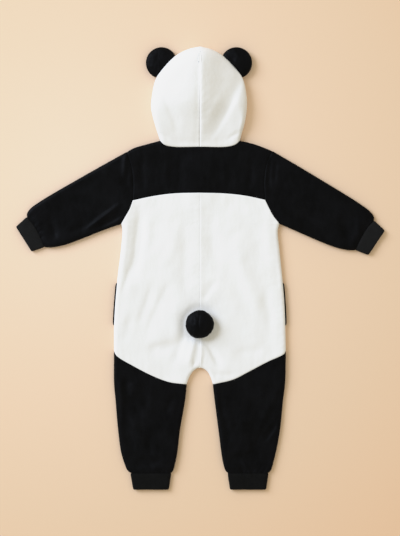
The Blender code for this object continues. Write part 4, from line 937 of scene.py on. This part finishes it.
def add_mesh(name, verts, faces, mat):
    mesh = bpy.data.meshes.new(name)
    mesh.from_pydata(np.asarray(verts, float).tolist(), [], faces)
    bm = bmesh.new()
    bm.from_mesh(mesh)
    bmesh.ops.recalc_face_normals(bm, faces=bm.faces)
    bm.to_mesh(mesh)
    bm.free()
    mesh.shade_smooth()
    mesh.materials.append(mat)
    return add_object(name, mesh)


def fit(obj, finish, *nodes):
    """Puts a piece on the garment, in place of these nodes."""
    if nodes:
        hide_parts(*nodes)
    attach(obj, "garment")
    return obj


def ring_faces(first, sides, count):
    """Faces between rings of points that follow one another from this index."""
    return [[low + k, low + (k + 1) % sides, low + sides + (k + 1) % sides, low + sides + k]
            for low in range(first, first + (count - 1) * sides, sides) for k in range(sides)]


def capped_faces(first, sides, count):
    """The faces of such rings with both ends closed."""
    last = first + (count - 1) * sides
    return [list(range(first, first + sides)), list(range(last, last + sides))[::-1],
            *ring_faces(first, sides, count)]


def add_pad(name, rows, mat, fill, *nodes):
    """A stuffed form from rows of points round it. Its first row and its last are one point."""
    count, sides = len(rows) - 2, rows.shape[1]
    verts = np.vstack([rows[0, :1], rows[1:-1].reshape(-1, 3), rows[-1, :1]])
    last = 1 + (count - 1) * sides
    faces = ring_faces(1, sides, count)
    for k in range(sides):
        after = (k + 1) % sides
        faces += [[0, 1 + after, 1 + k], [last + k, last + after, len(verts) - 1]]
    pad = fit(add_mesh(name, verts * MM, faces, mat), "black_plush", *nodes)


def wall(name, outer, inner, mat, ring=False):
    """A closed wall of cloth between two grids. A ring is closed along i."""
    count_i, count_j = outer.shape[:2]
    total = count_i * count_j
    index = np.arange(total).reshape(count_i, count_j)
    if ring:
        index = np.vstack([index, index[:1]])
    quads = np.stack([index[:-1, :-1], index[1:, :-1], index[1:, 1:], index[:-1, 1:]], -1)
    quads = quads.reshape(-1, 4)
    rims = [(index[:, 0], 1), (index[:, -1], -1)]
    if not ring:
        rims += [(index[0], -1), (index[-1], 1)]
    parts = [quads, quads[:, ::-1] + total]
    for line, way in rims:
        rim = np.stack([line[1:], line[:-1], line[:-1] + total, line[1:] + total], -1)
        parts.append(rim[:, ::way])
    verts = np.concatenate([outer.reshape(-1, 3), inner.reshape(-1, 3)]) * MM
    return add_mesh(name, verts, np.concatenate(parts).tolist(), mat)


def declare(obj, node, finish, outer, ring=False, turned_in=0.0):
    """Says what the piece is cut to: its width, length and area, laid flat."""
    if ring:
        outer = np.concatenate([outer, outer[:1]])
    width, length = (np.linalg.norm(np.diff(outer, axis=k), axis=-1).sum(axis=k).max() * MM
                     for k in (0, 1))
    p, q = outer[1:, 1:] - outer[:-1, :-1], outer[1:, :-1] - outer[:-1, 1:]
    area = np.linalg.norm(np.cross(p, q), axis=-1).sum() / 2.0 * MM * MM
    area = min(area, width * length)
    width += turned_in * MM
    fit(obj, finish, node)
    print(f"cut {node}: {width * 1000:.0f} x {length * 1000:.0f} mm, {area * 1e4:.0f} cm2")


def add_cloth(node, finish, layer, off, mat, thick=None, ring=False):
    """A wall of cloth whose face stands off by its relief, less where it has no room."""
    outer, normal, share_of_wall = layer
    if thick is None:
        off, thick = off * np.minimum(share_of_wall * 2, 1), share_of_wall * FLEECE
    face = outer + normal * off[..., None]
    face[..., 2] = np.maximum(face[..., 2], 0.0)
    obj = wall(node + "_cloth", face, outer - normal * thick[..., None], mat, ring)
    declare(obj, node, finish, outer, ring)


def sew(node, panel, upper, mats, finish, dips, gathered=False):
    layer = lay_flat(panel, upper, SEAM_GAP)
    add_cloth(node, finish, layer, relief(layer[0], dips, gathered), mats[finish])


def make_back_yoke(runs, mats):
    left, right = (yoke_panel(half, runs[side], front=False) for side, half in HALVES.items())
    grid, edge = (np.concatenate([a, b[-2::-1]]) for a, b in zip(left[:2], right[:2]))
    neck = [len(runs[side].shoulder.rows) - 1 for side in SIDES]
    seams = [Seam("first"), Seam("start"), Seam("end"), Seam("last", neck[0], -neck[1])]
    sew("back_yoke", Panel(grid, edge, seams), True, mats, "black_plush",
        dict(first=SEAM, start=SEAM, end=SEAM, last=SEAM))


def make_panels(half, runs, low_runs, mats):
    side = half.side
    leg = dict(first=SEAM, start=SIDE_SEAM, end=SIDE_SEAM, last=CUFF_SEAM)
    sew("back_" + side, body_panel(half, runs, front=False), True, mats, "white_fleece",
        dict(first=SEAM, end=CENTRE_SEAM, start=SIDE_SEAM, last=SEAM))
    sew("front_" + side, body_panel(half, low_runs, front=True), False, mats, "white_fleece",
        dict(first=SEAM, end=ZIP_HEM, start=SIDE_SEAM, last=SEAM))
    sew("front_yoke_" + side, yoke_panel(half, low_runs, front=True), False, mats, "black_plush",
        dict(first=SEAM, end=ZIP_HEM, start=SEAM, last=SEAM))
    sew("back_leg_" + side, leg_panel(half, runs), True, mats, "black_plush", leg, True)
    sew("front_leg_" + side, leg_panel(half, low_runs), False, mats, "black_plush", leg, True)


def tube_layer(grid, *seams):
    """Both layers of a flattened tube as one ring: the upper one, then back under it."""
    panel = make_panel(grid, [0, -1], *seams)
    over, under = lay_flat(panel, True), lay_flat(panel, False)
    return [np.concatenate([a, b[-2:0:-1]]) for a, b in zip(over, under)]


def make_sleeve(half, runs, mats):
    armhole = runs.armhole_upper.then(runs.armhole_lower)
    grid = patch(armhole, armhole.onto(half.cuff_seam, len(ROLL_STEPS)),
                 runs.sleeve_above, runs.sleeve_above.onto(half.sleeve_below))
    layer = tube_layer(grid, Seam("first"), Seam("last"))
    off = relief(layer[0], dict(first=SEAM, last=CUFF_SEAM), gathered=True)
    add_cloth("sleeve_" + half.side, "black_plush", layer, off, mats["black_plush"], ring=True)


def make_cuff(node, half, seam, end, mat):
    """A ribbed tube: its ribs run from the seam to the open end."""
    roll = roll_offsets(BODY_ROLL, CUFF_ROLL_STEPS)
    at_seam = Run(seam, stations(seam.length, CELL_RIB, roll, roll))
    start, cell, stop = CUFF_LENGTHS
    lengths = stations(1.0, cell, start, stop)
    grid = patch(at_seam, at_seam.onto(end, len(roll)),
                 *[Run(side, lengths * side.length) for side in half.cuff_sides(seam, end)])
    layer = outer, _, share_of_wall = tube_layer(grid, Seam("first"))
    around = run_along(np.concatenate([outer, outer[:1]])[:, outer.shape[1] // 2])
    turns = pi * round(around[-1] / RIB_PITCH) * around[:-1] / around[-1]
    rib = RIB_DEPTH * (np.abs(np.cos(turns)) ** RIB_SHARPNESS - RIB_LEVEL)
    (from_seam, _), (to_end, _) = rim_distance(outer, "first"), rim_distance(outer, "last")
    dip_fade, dip = CUFF_SEAM_DIP
    end_fade, end_outside, end_inside = CUFF_END_ROUND
    off = rib[:, None] * smooth((from_seam + RIB_AT_SEAM) / RIB_GROWS_OVER)
    off -= dip * bell(from_seam, dip_fade)
    off += uneven(outer, RIB_UNEVEN) - end_outside * bell(to_end, end_fade)
    thick = share_of_wall * RIB - end_inside * bell(to_end, end_fade)
    add_cloth(node, "charcoal_rib", layer, off, mat, thick, ring=True)


def make_hood_panel(half, runs, mats):
    """From the centre back seam over the edge and under, to the face opening."""
    roll = roll_offsets(BODY_ROLL)
    front = Run(half.front_neckline, stations(half.front_neckline.length, CELL_LOWER, start=roll))
    over = hood_grid(half, runs, True, runs.back_neckline, half.hood_crown, half.hood_seam, 1.0)
    under = hood_grid(half, runs, False, front, half.brow, half.face_edge, FACE_ROW_BIAS)
    neck, middle, fan = Seam("first"), Seam("start"), Seam("last")
    over, over_edge, _ = make_panel(over[::-1], [-1], neck)
    under, under_edge, _ = make_panel(under, [0], neck)
    for rim in (over[:, -1], over[0, :-1], under[:, -1]):
        rim[:, 0] += half.sign * SEAM_GAP / 2
    top = lay_flat(Panel(over, over_edge, [neck, middle, fan]), True)
    low = lay_flat(Panel(under, under_edge, [neck, fan]), False)
    layer = outer, _, _ = [np.concatenate([a, b[1:]]) for a, b in zip(top, low)]
    off = relief(outer, dict(first=SEAM, start=HOOD_SEAM, last=HOOD_SEAM, end=FACE_HEM))
    inset, width, depth = HEM_STITCHED
    is_under = (np.arange(len(outer)) > len(over))[:, None]
    off -= depth * bell(rim_distance(outer, "end")[0] - inset, width) * is_under
    off += CROWN_KNOB_RISE * bell(np.linalg.norm(outer - CROWN_KNOB, axis=-1), CROWN_KNOB_WIDTH)
    add_cloth("hood_" + half.side, "white_fleece", layer, off, mats["white_fleece"])


# Trims ------------------------------------------------------------------------------------

def circle(sides):
    turns = np.arange(sides) * 2 * pi / sides
    return turns, np.column_stack([np.cos(turns), np.sin(turns)])


def ear_reach(middle, way, centre, half):
    """How far a ray from the middle of an ear runs, to its rim or to the hood's edge."""
    reach = 0.0
    while reach < 2 * EAR_RADIUS:
        point = middle + way * (reach + EAR_STEP)
        gap = np.linalg.norm(half.hood_edge.points - point, axis=1)
        corner = half.hood_edge.points[gap.argmin()]
        out = OUTLINES[half.side].way_out(corner[None])[0]
        if np.linalg.norm(point - centre) > EAR_RADIUS or (point - corner) @ out < EAR_CLEAR:
            break
        reach += EAR_STEP
    return reach


def make_ear(half, mats):
    """A stuffed round of two plush pieces, with the seam round its rim."""
    centre = np.array(EAR_CENTRES[half.side])
    middle = centre + unit(centre - EARS_FACE_FROM) * EAR_RADIUS / 3.0
    turns, ways = circle(EAR_SPOKES)
    reach = np.array([ear_reach(middle, way, centre, half) for way in ways])
    reach = (np.roll(reach, 1) + 2 * reach + np.roll(reach, -1)) / 4.0
    rings = np.sin(np.linspace(0.0, pi / 2, EAR_RINGS + 1))[:, None]
    plan = middle + ways * (reach * rings)[..., None]
    from_centre = np.clip(np.linalg.norm(plan - centre, axis=-1) / EAR_RADIUS, 0.0, 1.0)
    count, wander, wanders = EAR_PUCKERS
    pucker = EAR_PUCKER * np.cos(turns * count + wander * np.cos(turns * wanders))
    pucker = pucker * np.exp(-reach * (1.0 - rings) / EAR_PUCKER_FADE)
    rim_rise, level = EAR_RIM * EAR_RIM_SHARE, EAR_LOFT / 2.0
    swell = level - rim_rise + pucker + uneven(plan, EAR_UNEVEN)
    rise = rim_rise + swell * np.sqrt(1.0 - from_centre ** 2)
    groove = middle + (plan[-1] - middle) * EAR_GROOVE
    rows = [np.dstack([plan, level + rise]),
            np.dstack([groove[None], np.full((1, EAR_SPOKES), level)]),
            np.dstack([plan, np.maximum(level - rise, 0.0)])[::-1]]
    name = "ear_" + half.side
    add_pad(name, np.concatenate(rows), mats["black_plush"], EAR_FILL,
            name + "_back", name + "_front")


def make_tail(mats):
    """A stuffed ball of plush on the centre back seam."""
    _, ways = circle(TAIL_SPOKES)
    seat = height(ways * TAIL_FOOT + (0.0, TAIL_Y), True).min() - TAIL_SUNK
    foot = -np.arccos(TAIL_FOOT / TAIL_RADIUS)
    turns = np.linspace(foot, pi / 2, TAIL_RINGS + 1)
    radius = np.array([0.0, *TAIL_RADIUS * np.cos(turns)])[:, None, None]
    z = seat + TAIL_HEIGHT * (np.sin([foot, *turns]) - sin(foot)) / (1.0 - sin(foot))
    plan = ways * radius + (0.0, TAIL_Y)
    rows = np.dstack([plan, np.broadcast_to(z[:, None], plan.shape[:2])])
    way = unit(rows - (0.0, TAIL_Y, seat + TAIL_HEIGHT / 2.0))
    wander, over, width, depth = TAIL_SEAM
    seam = bell(rows[..., 0] + wander * np.sin(rows[..., 1] / over), width)
    off = uneven(rows, TAIL_UNEVEN) - depth * seam * (way[..., 2] > TAIL_SEAM_ABOVE)
    add_pad("tail_ball", rows + way * off[..., None], mats["black_plush"], TAIL_FILL, "tail")


def make_pocket_welt(half, mats):
    """A folded strip along the side seam, turned round the rolled edge."""
    edge = half.side_edge
    ends = np.interp([-WELT_FROM_Y, -WELT_TO_Y], -edge.points[:, 1], edge.along)
    points = edge.at(np.linspace(*ends, WELT_ROWS))
    out, low = way_out(points), BODY_LOFT / 2.0
    along = np.linspace(-1.0, 1.0, WELT_ROWS)
    (end_power, end_least), (lip_power, lip_least) = WELT_END, WELT_LIP
    round_end = np.sqrt(np.clip(1.0 - along ** end_power, end_least, 1.0))
    outer, inner, cut = [], [], []
    for across in np.linspace(-1.0, 1.0, WELT_COLUMNS):
        turn = radians(np.interp(across, [-1.0, 1.0], WELT_TURN))
        lip = np.sqrt(max(1.0 - across ** lip_power, lip_least))
        face = np.column_stack([out * low * cos(turn), np.full(WELT_ROWS, BODY_ROLL * sin(turn))])
        on_panel = np.column_stack([points - out * BODY_ROLL * (1.0 - cos(turn)),
                                    np.full(WELT_ROWS, low * (1.0 + sin(turn)))])
        thick = WELT * WELT_SHOWN * lip * round_end + uneven(on_panel, WELT_UNEVEN)
        thick = np.maximum(thick, WELT_LEAST)
        for face_of, off in ((outer, WELT_CLEAR + thick), (inner, WELT_BACK * WELT_CLEAR),
                             (cut, WELT_CLEAR + WELT)):
            face_of.append(on_panel + unit(face) * np.reshape(off, (-1, 1)))
    node = "pocket_welt_" + half.side
    # The welt is black plush, drawn with a copy painted as shaded
    obj = wall(node + "_cloth", np.array(outer), np.array(inner), mats["black_welt"])
    declare(obj, node, "black_plush", np.array(cut), turned_in=WELT_TURNED_IN)


def make_zip(half, mats):
    """A woven tape inside the front's edge, with its row of teeth."""
    y = np.arange(TAPE_BOTTOM_Y, TAPE_TOP_Y, TAPE_CELL)
    x = np.array(TAPE_COLUMNS)
    edge = TEETH_X + smooth((y - OPEN_FROM_Y) / OPEN_OVER + 1.0) * (OPEN_TAPE_EDGE - TEETH_X)
    grid_x = edge[None, :] + x[:, None] * (1.0 - edge[None, :] / TAPE_EDGE)
    seat = FLEECE + TAPE_SEAT + zip_lift(np.zeros_like(y), y)
    cord_x, cord_width, cord_height = TAPE_CORD
    cord = cord_height * bell(x - cord_x, cord_width)[:, None]
    weave = TAPE_WEAVE * np.cos(pi * np.add.outer(np.arange(len(x)), np.arange(len(y))))
    plan = [half.sign * grid_x, np.broadcast_to(y, grid_x.shape)]
    low = np.stack([*plan, seat - cord + weave], -1)
    top = np.stack([*plan, seat + TAPE + cord * TAPE_CORD_SHOWN - weave], -1)
    node = "zip_tape_" + half.side
    tape = wall(node + "_cloth", low, top, mats["zip_tape"])

    verts, faces, count = [], [], len(TOOTH)
    shift = TOOTH_PITCH / 2.0 if half.sign > 0 else 0.0
    for where in [*np.arange(*TEETH_Y, TOOTH_PITCH) + shift, *np.arange(*OPEN_TEETH_Y, TOOTH_PITCH)]:
        at_x, at_z = np.interp(where, y, edge) - TEETH_X, np.interp(where, y, seat) - TAPE_SEAT
        faces += capped_faces(len(verts), count, 2)
        for side_y in (-TOOTH_HALF, TOOTH_HALF):
            verts += [(half.sign * (at_x + dx), where + side_y, at_z + dz) for dx, dz in TOOTH]
    teeth = add_mesh("zip_teeth_" + half.side, np.array(verts) * MM, faces, mats["zip_coil"])
    fit(teeth, "zip_tape")
    declare(tape, node, "zip_tape", low)


def add_stitches(name, line, off, mats):
    """A row of stitches on the lower layer along a line, each a small rounded thread."""
    points = np.column_stack([line, height(line, False) + off])
    along, ways = run_along(points), circle(STITCH_SIDES)[1]
    verts, faces = [], []
    for start in np.arange(STITCH_PITCH, along[-1] - STITCH_PITCH, STITCH_PITCH):
        ends = [np.array([np.interp(s, along, column) for column in points.T])
                for s in (start, start + STITCH_LENGTH)]
        run = unit(ends[1] - ends[0])
        across = unit(np.cross(run, (0.0, 0.0, 1.0)))
        up = np.cross(across, run)
        faces += capped_faces(len(verts), STITCH_SIDES, len(STITCH))
        for shift, wide in STITCH:
            at = (ends[0] + ends[1]) / 2.0 + run * shift * STITCH_LENGTH
            verts += [at + (across * c + up * s) * STITCH_RADIUS * wide for c, s in ways]
    fit(add_mesh(name, np.array(verts) * MM, faces, mats["thread"]), "white_fleece")


def make_stitching(half, mats):
    """Topstitching beside the zip and round the face opening, sunk into the nap."""
    y, (x, off) = np.arange(*ZIP_STITCHED_Y), ZIP_STITCHED
    line = np.column_stack([np.full_like(y, half.sign * x), y])
    add_stitches("zip_stitches_" + half.side, line, off, mats)
    start, count, off = FACE_STITCHED
    edge = half.face_edge.at(np.linspace(start, half.face_edge.length - 1.0, count))
    line = edge + right_of(np.gradient(edge, axis=0)) * half.sign * HEM_STITCHED[0]
    add_stitches("face_stitches_" + half.side, line[line[:, 0] * half.sign > 1.0], off, mats)


# Materials --------------------------------------------------------------------------------

class Look:
    """A material and its nodes. A value is a number, a vector or another node's output."""

    def __init__(self, name):
        self.mat = bpy.data.materials.new(name)
        self.mat.use_nodes = True
        self.tree = self.mat.node_tree
        self.shader = self.tree.nodes["Principled BSDF"]
        self.place = self.node("TexCoord").outputs["Object"]

    def fill(self, node, values):
        for name, value in values.items():
            self.feed(node.inputs[name.replace("_", " ")], value)

    def feed(self, socket, value):
        if isinstance(value, bpy.types.NodeSocket):
            self.tree.links.new(value, socket)
        else:
            socket.default_value = value

    def node(self, kind, settings=(), **values):
        node = self.tree.nodes.new("ShaderNode" + kind)
        for name, value in settings:
            setattr(node, name, value)
        self.fill(node, values)
        return node

    def mapped(self, scale, location=(0.0, 0.0, 0.0)):
        node = self.node("Mapping", Vector=self.place, Scale=scale, Location=location)
        return node.outputs["Vector"]

    def noise(self, scale, detail=2.0, roughness=0.5, stretch=None):
        vector = self.mapped(stretch) if stretch else self.place
        node = self.node("TexNoise", Vector=vector, Scale=scale, Detail=detail, Roughness=roughness)
        return node.outputs["Fac"]

    def bands(self, way, scale, distortion, **values):
        node = self.node("TexWave", [("bands_direction", way)], Vector=self.place, Scale=scale,
                         Distortion=distortion, **values)
        return node.outputs["Fac"]

    def math(self, operation, *values):
        node = self.node("Math", [("operation", operation)])
        for socket, value in zip(node.inputs, values):
            self.feed(socket, value)
        return node.outputs["Value"]

    def blend(self, *parts):
        """The sum of parts given as (output, weight)."""
        total, *others = [self.math("MULTIPLY", *part) for part in parts]
        for part in others:
            total = self.math("ADD", total, part)
        return total

    def ramp(self, source, *stops):
        node = self.node("ValToRGB", Fac=source)
        elements = node.color_ramp.elements
        while len(elements) < len(stops):
            elements.new(0.5)
        for element, (position, colour) in zip(elements, stops):
            element.position, element.color = position, (*colour, 1.0)
        return node.outputs["Color"]

    def finish(self, colour, depth, *grain, **values):
        """Sets the shader, with a bump of this depth in metres from the grain's parts."""
        bump = self.node("Bump", Strength=1.0, Distance=depth, Height=self.blend(*grain))
        self.fill(self.shader, dict(Base_Color=colour, Normal=bump.outputs["Normal"], **values))
        return self.mat


def nap_material(name, dark, light, patchiness, rough, sheen, sheen_rough, tint, specular, depth):
    """Short pile: broad brushed patches, fine tufts, and a sheen from the fibre tips."""
    look = Look(name)
    broad, tufts = look.noise(26.0, 3.0, 0.55), look.noise(620.0, 2.0, 0.6)
    brushed = look.noise(90.0, 3.0, 0.6, stretch=(1.0, 0.45, 1.0))
    fibres = look.noise(1500.0, 1.0, 0.5, stretch=(1.0, 0.35, 1.0))
    patches = look.blend((broad, 0.45), (brushed, 0.35), (tufts, 0.2))
    colour = look.ramp(patches, (0.5 - patchiness, dark), (0.5 + patchiness, light))
    rough_map = look.math("ADD", look.blend((brushed, 0.16)), rough - 0.08)
    return look.finish(colour, depth, (tufts, 0.6), (fibres, 0.25), (brushed, 0.8),
                       Roughness=rough_map, Sheen_Weight=sheen, Sheen_Roughness=sheen_rough,
                       Sheen_Tint=(*tint, 1.0), Specular_IOR_Level=specular)


def rib_material(name, dark, light):
    """Knit in ribs: the mesh has the ribs, and the nodes the rows of stitches."""
    look = Look(name)
    broad, yarn = look.noise(60.0, 3.0, 0.55), look.noise(900.0, 2.0, 0.6)
    loops = look.bands("Y", 190.0, 1.2, Detail=1.0, Detail_Scale=2.0)
    colour = look.ramp(look.blend((broad, 0.6), (yarn, 0.4)), (0.3, dark), (0.7, light))
    return look.finish(colour, 0.00028, (yarn, 0.5), (loops, 0.6), Roughness=0.92,
                       Sheen_Weight=0.10, Sheen_Roughness=0.5, Sheen_Tint=(0.25, 0.26, 0.27, 1.0),
                       Specular_IOR_Level=0.08)


def tape_material(name):
    look = Look(name)
    threads = look.math("MULTIPLY", look.bands("Y", 330.0, 0.6), look.bands("X", 260.0, 0.6))
    colour = look.ramp(threads, (0.0, (0.62, 0.62, 0.61)), (0.8, (0.80, 0.80, 0.79)))
    return look.finish(colour, 0.0002, (threads, 1.0), (look.noise(1400.0), 0.3),
                       Roughness=0.75, Specular_IOR_Level=0.3, Sheen_Weight=0.1)


def plastic_material(name, dark, light, rough, sheen=0.0):
    look = Look(name)
    colour = look.ramp(look.noise(700.0, 2.0, 0.6), (0.3, dark), (0.7, light))
    return look.finish(colour, 0.00006, (look.noise(2600.0), 1.0),
                       Roughness=rough, Specular_IOR_Level=0.4, Sheen_Weight=sheen)


def metal_material(name):
    look = Look(name)
    brushed = look.noise(1100.0, 3.0, 0.6, stretch=(1.0, 0.12, 1.0))
    worn = look.noise(240.0, 3.0, 0.6)
    colour = look.ramp(worn, (0.3, (0.50, 0.50, 0.51)), (0.7, (0.66, 0.66, 0.67)))
    return look.finish(colour, 0.00004, (brushed, 1.0), Metallic=1.0,
                       Roughness=look.math("ADD", look.blend((brushed, 0.22)), 0.24))


def floor_material(name):
    """Pale peach with a painted pool of light: palest beside the left sleeve, on the side of the key
    light, and a little deeper all round it.
    """
    look = Look(name)
    painted_light_pool = look.node("TexGradient", [("gradient_type", "SPHERICAL")],
                            Vector=look.mapped(*FLOOR_LIGHT_POOL_PLACE)).outputs["Fac"]
    return look.finish(look.ramp(painted_light_pool, *FLOOR_LIGHT_POOL_TONES), 0.00003, (look.noise(300.0), 1.0),
                       Roughness=0.9, Specular_IOR_Level=0.05)


def make_materials():
    return {
        "white_fleece": nap_material(
            "white_fleece_nap", (0.847, 0.852, 0.855), (0.877, 0.880, 0.881),
            0.22, 0.95, 0.08, 0.6, (1.0, 1.0, 1.0), 0.12, 0.00022),
        "black_plush": nap_material(
            "black_plush_nap", (0.0009, 0.0010, 0.0014), (0.0036, 0.0038, 0.0048),
            0.15, 0.50, 0.10, 0.32, (0.10, 0.102, 0.108), 0.065, 0.00018),
        # The welt's own copy of the black plush, painted warmer and browner, with less sheen and gloss:
        # painted shade, so the welt's face where the light grazes it reads dark
        "black_welt": nap_material(
            "welt_plush_painted_shade", (0.0020, 0.0014, 0.0011), (0.0052, 0.0040, 0.0034),
            0.15, 0.85, 0.02, 0.32, (0.10, 0.10, 0.10), 0.03, 0.00018),
        # Two copies of the one charcoal rib knit, painted light and shade: the sleeve cuffs' copy is
        # painted lighter and the ankle cuffs' copy painted darker, for the light each pair of cuffs
        # gets
        "sleeve_rib": rib_material(
            "rib_knit_painted_lighter", (0.0085, 0.0086, 0.0088), (0.0135, 0.0136, 0.0138)),
        "ankle_rib": rib_material(
            "rib_knit_painted_darker", (0.0037, 0.0037, 0.0036), (0.0066, 0.0065, 0.0063)),
        "zip_tape": tape_material("zip_tape_weave"),
        "zip_coil": plastic_material(
            "zip_coil_plastic", (0.66, 0.66, 0.65), (0.76, 0.76, 0.75), 0.4),
        "thread": plastic_material(
            "thread_twist", (0.74, 0.74, 0.73), (0.84, 0.84, 0.83), 0.7, 0.1),
        "metal": metal_material("zip_metal_satin"),
    }


# Stage ------------------------------------------------------------------------------------

def add_softbox(name, place, size, power, colour):
    """A round softbox that faces the garment."""
    light = bpy.data.lights.new(name, "AREA")
    light.shape, light.size, light.energy, light.color = "DISK", size, power, colour
    x, y, z = place
    add_object(name, light, place).rotation_euler = (
        np.arctan2(np.hypot(x, y), z), 0.0, np.arctan2(y, x) + pi / 2.0)


def set_response(settings):
    """The camera's response: straight up to pale tones, with a soft shoulder above them."""
    settings.view_transform = "Standard"
    settings.use_curve_mapping = True
    mapping = settings.curve_mapping
    mapping.clip_max_x = RESPONSE[-1][0]
    curve = mapping.curves[3]
    while len(curve.points) < len(RESPONSE):
        curve.points.new(0.5, 0.5)
    for point, place in zip(curve.points, RESPONSE):
        point.location, point.handle_type = place, "VECTOR"
    mapping.update()


def make_stage():
    scene = bpy.context.scene
    camera = bpy.data.cameras.new("camera")
    camera.sensor_width = SENSOR
    camera.lens = SENSOR * CAMERA_HEIGHT / (FRAME_LONG_SIDE * MM_PER_PIXEL * MM)
    scene.camera = add_object("camera", camera, (*CAMERA_AT, CAMERA_HEIGHT))

    add_softbox("key", **KEY_LIGHT)
    scene.world = bpy.data.worlds.new("studio")
    scene.world.use_nodes = True
    background = scene.world.node_tree.nodes["Background"]
    background.inputs["Color"].default_value = SKY_COLOUR
    background.inputs["Strength"].default_value = SKY_STRENGTH
    set_response(scene.view_settings)

    rim = np.column_stack([circle(FLOOR_SIDES)[1] * FLOOR_RADIUS, np.full(FLOOR_SIDES, FLOOR_Z)])
    add_mesh("floor", rim, [list(range(FLOOR_SIDES))], floor_material("floor_peach"))


def main():
    make_stage()
    mats = make_materials()
    upper, lower, sleeve = ({side: runs_of(half, cell) for side, half in HALVES.items()}
                            for cell in (CELL_UPPER, CELL_LOWER, CELL_SLEEVE))
    make_back_yoke(upper, mats)
    for side, half in HALVES.items():
        make_panels(half, upper[side], lower[side], mats)
        make_sleeve(half, sleeve[side], mats)
        make_cuff("sleeve_cuff_" + side, half, half.cuff_seam, half.cuff_end, mats["sleeve_rib"])
        make_cuff("ankle_cuff_" + side, half, half.ankle_seam, half.ankle_end, mats["ankle_rib"])
        make_hood_panel(half, upper[side], mats)
        make_ear(half, mats)
        make_pocket_welt(half, mats)
        make_zip(half, mats)
        make_stitching(half, mats)
    make_tail(mats)
    for node in ("zip_slider", "zip_pull"):
        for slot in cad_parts[node].material_slots:
            slot.material = mats["metal"]


main()
